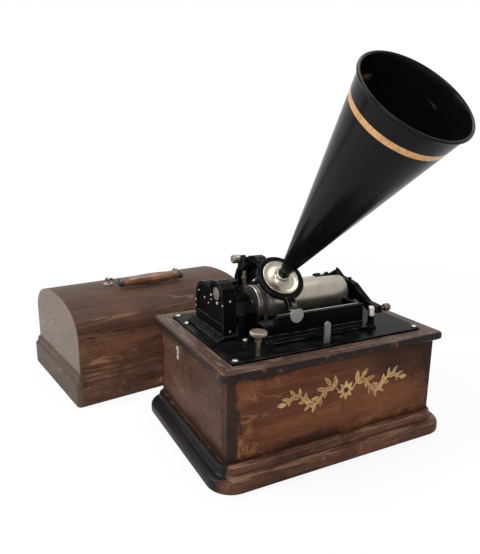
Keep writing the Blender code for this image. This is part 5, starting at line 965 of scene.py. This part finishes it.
# The gear guard: a thin black plate inside the housing's window, shaped as shares of the
# window's depth and height, with a dull steel bearing cap on it.
HOUSING = {"front": -0.026, "back": 0.055, "top": 0.2015, "low": 0.1345, "inset": 0.0037}
GUARD_X = (-0.1101, -0.1093)
GUARD = np.array([
    (0.0, 0.29), (0.0, 0.648), (0.019, 0.783), (0.068, 0.895), (0.154, 0.975),
    (0.265, 1.0), (0.364, 0.978), (0.438, 0.925), (0.481, 0.865), (0.525, 0.832),
    (0.574, 0.832), (0.636, 0.858), (0.722, 0.868), (0.815, 0.85), (0.907, 0.783),
    (0.975, 0.678), (1.0, 0.543), (1.0, 0.29),
])
CAP = mm((0, 7.8), (0.6, 7.8), (0.9, 7.2), (0.7, 6), (1, 4.8), (1, 2.4), (1.6, 1.8), (1.6, 0.4))
CAP_PLACE = (GUARD_X[0], -0.0035, 0.1855)
LEFTWARDS = (-1, 0, 0)
guard_depth = HOUSING["back"] - HOUSING["front"] - 2 * HOUSING["inset"]
guard_height = HOUSING["top"] - HOUSING["low"] - HOUSING["inset"]
guard_y = HOUSING["front"] + HOUSING["inset"] + GUARD[:, 0] * guard_depth
guard_z = HOUSING["low"] + GUARD[:, 1] * guard_height
guard = [slab(np.column_stack([guard_y, guard_z]), 0, GUARD_X)]
piece("gear_guard", guard, casting_black, "case", ())
dull_steel = metal("steel_cap", (0.2, 0.19, 0.165), 0.36, SOFT_MARKS, 0.6)
piece("bearing_cap", [lathe(CAP, CAP_PLACE, LEFTWARDS, 48)], dull_steel, "case", ())


# The castings' screws and bolts: slotted nickel heads in two halves over a thin disc. They
# stand on the gear guard, the housing's rim and front, and the castings' feet.
SCREW_DISC = {"radius": 0.96, "height": 0.45, "sunk": 0.0002}
SCREW_SLOT = 0.16
SCREW_STEPS = ((0.42, 1.0), (0.7, 0.95), (0.9, 0.8), (1.0, 0.55))


def half_disc(radius, gap, side, steps=9):
    """Half a disc beyond a straight gap, as (across, over) points."""
    start = np.arcsin(gap / radius)
    angle = np.linspace(start, np.pi - start, steps)
    return around(angle) * (radius, side * radius)


def screw(origin, axis, radius, height, turn):
    """A domed head with a slot, standing on origin along axis. Its halves narrow in steps of
    (share of the height, share of the radius). turn is the slot's angle."""
    axis = np.asarray(axis, float)
    first, second = square_to(axis)
    across = np.cos(turn) * first + np.sin(turn) * second
    over = np.cross(axis, across)
    disc_radius = radius * SCREW_DISC["radius"]
    disc = [(-SCREW_DISC["sunk"], disc_radius), (height * SCREW_DISC["height"], disc_radius)]
    parts = [lathe(disc, origin, axis, 20)]
    for side in (1, -1):
        rings = []
        for share, narrow in SCREW_STEPS:
            outline = half_disc(radius * narrow, radius * SCREW_SLOT, side)
            flat = outline[:, :1] * across + outline[:, 1:] * over
            rings.append(np.asarray(origin) + flat + share * height * axis)
        parts.append(loft(rings))
    return parts


GUARD_SCREWS = (
    (0.0478, 0.1775, 0.0013), (0.0299, 0.1726, 0.0016), (0.0185, 0.1686, 0.0012),
    (0.0105, 0.1807, 0.0015), (0.011, 0.1748, 0.0011), (-0.0065, 0.1746, 0.0021),
    (-0.0195, 0.1892, 0.0024),
)
RIM_SCREWS = ((0.0533, 0.1641, 0.0012), (0.0533, 0.156, 0.0012), (-0.0243, 0.1765, 0.0012))
FORWARDS = (0, -1, 0)
BOLTS = (
    ((-0.1035, -0.026, 0.181), FORWARDS, 0.0013, 0.0009, 0.4),
    ((-0.1035, -0.026, 0.145), FORWARDS, 0.0013, 0.0009, 1.1),
    ((-0.0882, -0.035, 0.1345), UP, 0.0032, 0.0026, 0.3),
    ((-0.1262, 0.05, 0.1345), UP, 0.003, 0.0024, 1.2),
    ((0.0705, -0.045, 0.1345), UP, 0.0028, 0.0022, 0.8),
)
RIM_X = -0.112
heads = []
for x_at, height, turn, screws in (
    (GUARD_X[0], 0.75, 0.7, GUARD_SCREWS),
    (RIM_X, 0.7, 0.9, RIM_SCREWS),
):
    for k, (y_at, z_at, radius) in enumerate(screws):
        heads += screw((x_at, y_at, z_at), LEFTWARDS, radius, radius * height, turn * k)
for bolt in BOLTS:
    heads += screw(*bolt)
piece("casting_screws", heads, nickel, "case", ())

# The latch post at the right front: a nickel sleeve on a black turned foot, screwed into the
# bedplate. The gate's thumbscrew pulls the gate against it.
POST = (0.0745, -0.061, 0.0)
FOOT = mm((134.5, 7), (136.2, 7.2), (137.6, 6.6), (138.8, 5), (141, 4.3), (146, 4), (150.2, 4))
SLEEVE = mm(
    (149.6, 3.6), (149.8, 4.2), (150.6, 4.4), (152, 4.2), (160, 4.2), (161.2, 3.8), (161.9, 3), (162, 1.4)
)
piece("latch_post_foot", [lathe(FOOT, POST, UP, 40)], casting_black, "case", ())
piece("latch_post_sleeve", [lathe(SLEEVE, POST, UP, 40)], nickel, "case", ["latch_post"])

# The lid's catch plates: a small nickel plate on each side wall of the case, with two screws.
# Each step of a plate is (its height over the wall, how far its outline has shrunk).
CATCH_Y, CATCH_Z, CATCH_SCREWS = 0.0395, 0.1025, (0.0965, 0.1085)
CATCH_WIDTH, CATCH_HEIGHT, CATCH_CORNER = 0.005, 0.018, 0.001
CATCH_STEPS = ((-0.0002, 1.0), (0.001, 1.0), (0.0014, 0.9))
CATCH_SCREW = (0.0012, 0.0007, 0.6)
catch_shape = pill(CATCH_WIDTH, CATCH_HEIGHT, CATCH_CORNER, 4)
for side, label in ((-1, "left"), (1, "right")):
    wall = side * CASE_HALF[0]
    rows = []
    for out, shrink in CATCH_STEPS:
        place = np.array([CATCH_Y, CATCH_Z]) + catch_shape * shrink
        rows.append(np.insert(place, 0, wall + side * out, axis=1))
    catch = [loft(rows)]
    for z_at in CATCH_SCREWS:
        catch += screw((wall + side * 0.0013, CATCH_Y, z_at), (side, 0, 0), *CATCH_SCREW)
    piece("lid_catch_" + label, catch, nickel, "case", ())

# The crank's hole: a turned nickel ring let into the right wall, which the crank's shaft
# comes through.
CRANK_HOLE = (CASE_HALF[0], 0.00126, 0.07)
ROUND_PLATE = mm((-0.2, 5.3), (-0.2, 11.2), (0.8, 11.2), (1.4, 10.4), (1.8, 8.5), (1.8, 6), (1.4, 5.3))
crank_plate = [lathe(ROUND_PLATE, CRANK_HOLE, ALONG, 64, True)]
piece("crank_escutcheon", crank_plate, nickel, "case", ())

# The gilt ornament: a leafy vine in two mirrored halves about a rosette, laid thinly on the
# front board and worn through in places, with umber borders and veins.
ORNAMENT = {"x": 0.01, "z": 0.08, "face": -0.0999, "thick": 0.0003, "layer": 0.00002}
BORDER, BORDER_THICK = 0.0007, 0.00004
VEIN = {"width": 0.0006, "share": 0.75, "thick": 0.00031}
VINE = {"start": 0.01, "length": 0.072, "wave": 0.012, "bends": 3, "leaves": 10}
LEAVES = ((0.85, 0.015, 0.0062), (-0.85, 0.012, 0.0052))
VINE_HALF_WIDTH, VINE_SWELL, VINE_THIN, VINE_CALM = 0.0006, 0.0013, 0.8, 0.4
LEAF_SHRINK, LEAF_SLOPE, LEAF_ENDS = 0.35, 0.8, (0.07, 0.93)
TIP = {"x": 0.0815, "length": 0.012, "width": 0.0058, "layer": 7}
PETALS, FLOWER, FLOWER_LAYER = 8, (0.0095, 0.0024), 9
HEART, HEART_LAYER = (0.0034, 0.0007), 13
gilt = Finish("gilt", IOR=1.3, Metallic=0.35)
gilt_rub = gilt.noise(160.0, 5.0, 0.7)
gilt_tone = gilt.noise(30.0, 3.0, 0.6)
gilt.lay(
    (0.36, 0.205, 0.08),
    (gilt_tone.ramp(0.35, 0.65), (0.52, 0.335, 0.15)),
    (gilt_rub.ramp(0.5, 0.62) * 0.7, (0.14, 0.06, 0.028)),
)
gilt.set("Roughness", 0.42 + gilt_tone * 0.15)
gilt.bump(gilt_rub, 0.0001, 0.4)
umber = Finish("umber_line", IOR=1.3, Roughness=0.5)
umber_cloud = umber.noise(120.0, 4.0, 0.6)
umber.lay((0.012, 0.008, 0.006), (umber_cloud.ramp(0.4, 0.7), (0.045, 0.022, 0.013)))


def flat_shape(outline, layer, thick=ORNAMENT["thick"]):
    """A thin shape on the front board, from a closed (x, z) outline. Shapes that cross stand
    a little apart, by layer."""
    face = ORNAMENT["face"]
    return slab(outline, 1, (face, face - thick - ORNAMENT["layer"] * layer))


def leaf(x, z, length, width, turn, steps=12):
    """A pointed leaf: at a share s of its length its half width is
    width / 2 * sin(pi * s) ** 0.8 * (1.3 - 0.6 * s)."""
    share = np.linspace(0.0, 1.0, steps)
    half_width = width / 2 * np.sin(np.pi * share) ** 0.8 * (1.3 - share * 0.6)
    upper = np.column_stack([share * length, half_width])
    shape = np.vstack([upper, upper[1:-1][::-1] * (1, -1)])
    return turned(shape, turn, (x, z))


def rosette(reach, swell):
    """A flower's outline: its radius is reach + swell * cos(petals * a)."""
    angle = np.linspace(0.0, 2 * np.pi, 120, endpoint=False)
    radius = reach + swell * np.cos(PETALS * angle)
    return around(angle) * radius[:, None] + (ORNAMENT["x"], ORNAMENT["z"])


def add_leaf(x, z, length, width, turn, layer):
    """A gilt leaf over a wider umber one that shows as its border, with an umber vein."""
    gilt_parts.append(flat_shape(leaf(x, z, length, width, turn), layer))
    step_x, step_z = BORDER * 1.3 * np.cos(turn), BORDER * 1.3 * np.sin(turn)
    wider = leaf(x - step_x, z - step_z, length + BORDER * 2.6, width + BORDER * 2, turn)
    umber_parts.append(flat_shape(wider, layer, BORDER_THICK))
    vein = leaf(x + step_x, z + step_z, length * VEIN["share"], VEIN["width"], turn)
    umber_parts.append(flat_shape(vein, layer + 1, VEIN["thick"]))


flower_reach, flower_swell = FLOWER
gilt_parts = [flat_shape(rosette(*FLOWER), FLOWER_LAYER)]
flower_border = rosette(flower_reach + BORDER, flower_swell)
umber_parts = [flat_shape(flower_border, FLOWER_LAYER, BORDER_THICK)]
umber_parts.append(flat_shape(rosette(*HEART), HEART_LAYER))
share = np.linspace(0.0, 1.0, 110)
half_width = VINE_HALF_WIDTH + VINE_SWELL * np.sin(np.pi * share)
thick = np.full(share.size, -ORNAMENT["thick"] * VINE_THIN)
bends = VINE["bends"] * np.pi
strip = np.array([(-1.0, 0.0), (1.0, 0.0), (1.0, 1.0), (-1.0, 1.0)])
ribbon = strip[None] * np.stack([half_width, thick], axis=-1)[:, None]
for side in (-1, 1):
    vine_x = ORNAMENT["x"] + side * (VINE["start"] + VINE["length"] * share)
    vine_z = ORNAMENT["z"] + VINE["wave"] * np.sin(bends * share) * (1 - share * VINE_CALM)
    route = np.insert(np.column_stack([vine_x, vine_z]), 1, ORNAMENT["face"], axis=1)
    gilt_parts.append(sweep(route, ribbon, (0, 1, 0)))
    for k, along in enumerate(np.linspace(*LEAF_ENDS, VINE["leaves"])):
        x_at, z_at = np.interp(along, share, vine_x), np.interp(along, share, vine_z)
        shrink = 1 - LEAF_SHRINK * along
        for turn, length, width in LEAVES:
            heading = np.cos(bends * along) * LEAF_SLOPE + turn
            pointing = heading if side > 0 else np.pi - heading
            layer = 2 * (k % 3) + int(turn > 0)
            add_leaf(x_at, z_at, length * shrink, width * shrink, pointing, layer)
    outwards = 0.0 if side > 0 else np.pi
    tip_x = ORNAMENT["x"] + side * TIP["x"]
    tip = leaf(tip_x, vine_z[-1], TIP["length"], TIP["width"], outwards)
    gilt_parts.append(flat_shape(tip, TIP["layer"]))
piece("gilt_ornament", gilt_parts, gilt, "case", ())
piece("umber_outlines", umber_parts, umber, "case", ())

size = {"cad": np.array(cad_box).tolist(), "visual": np.array(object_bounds()).tolist()}
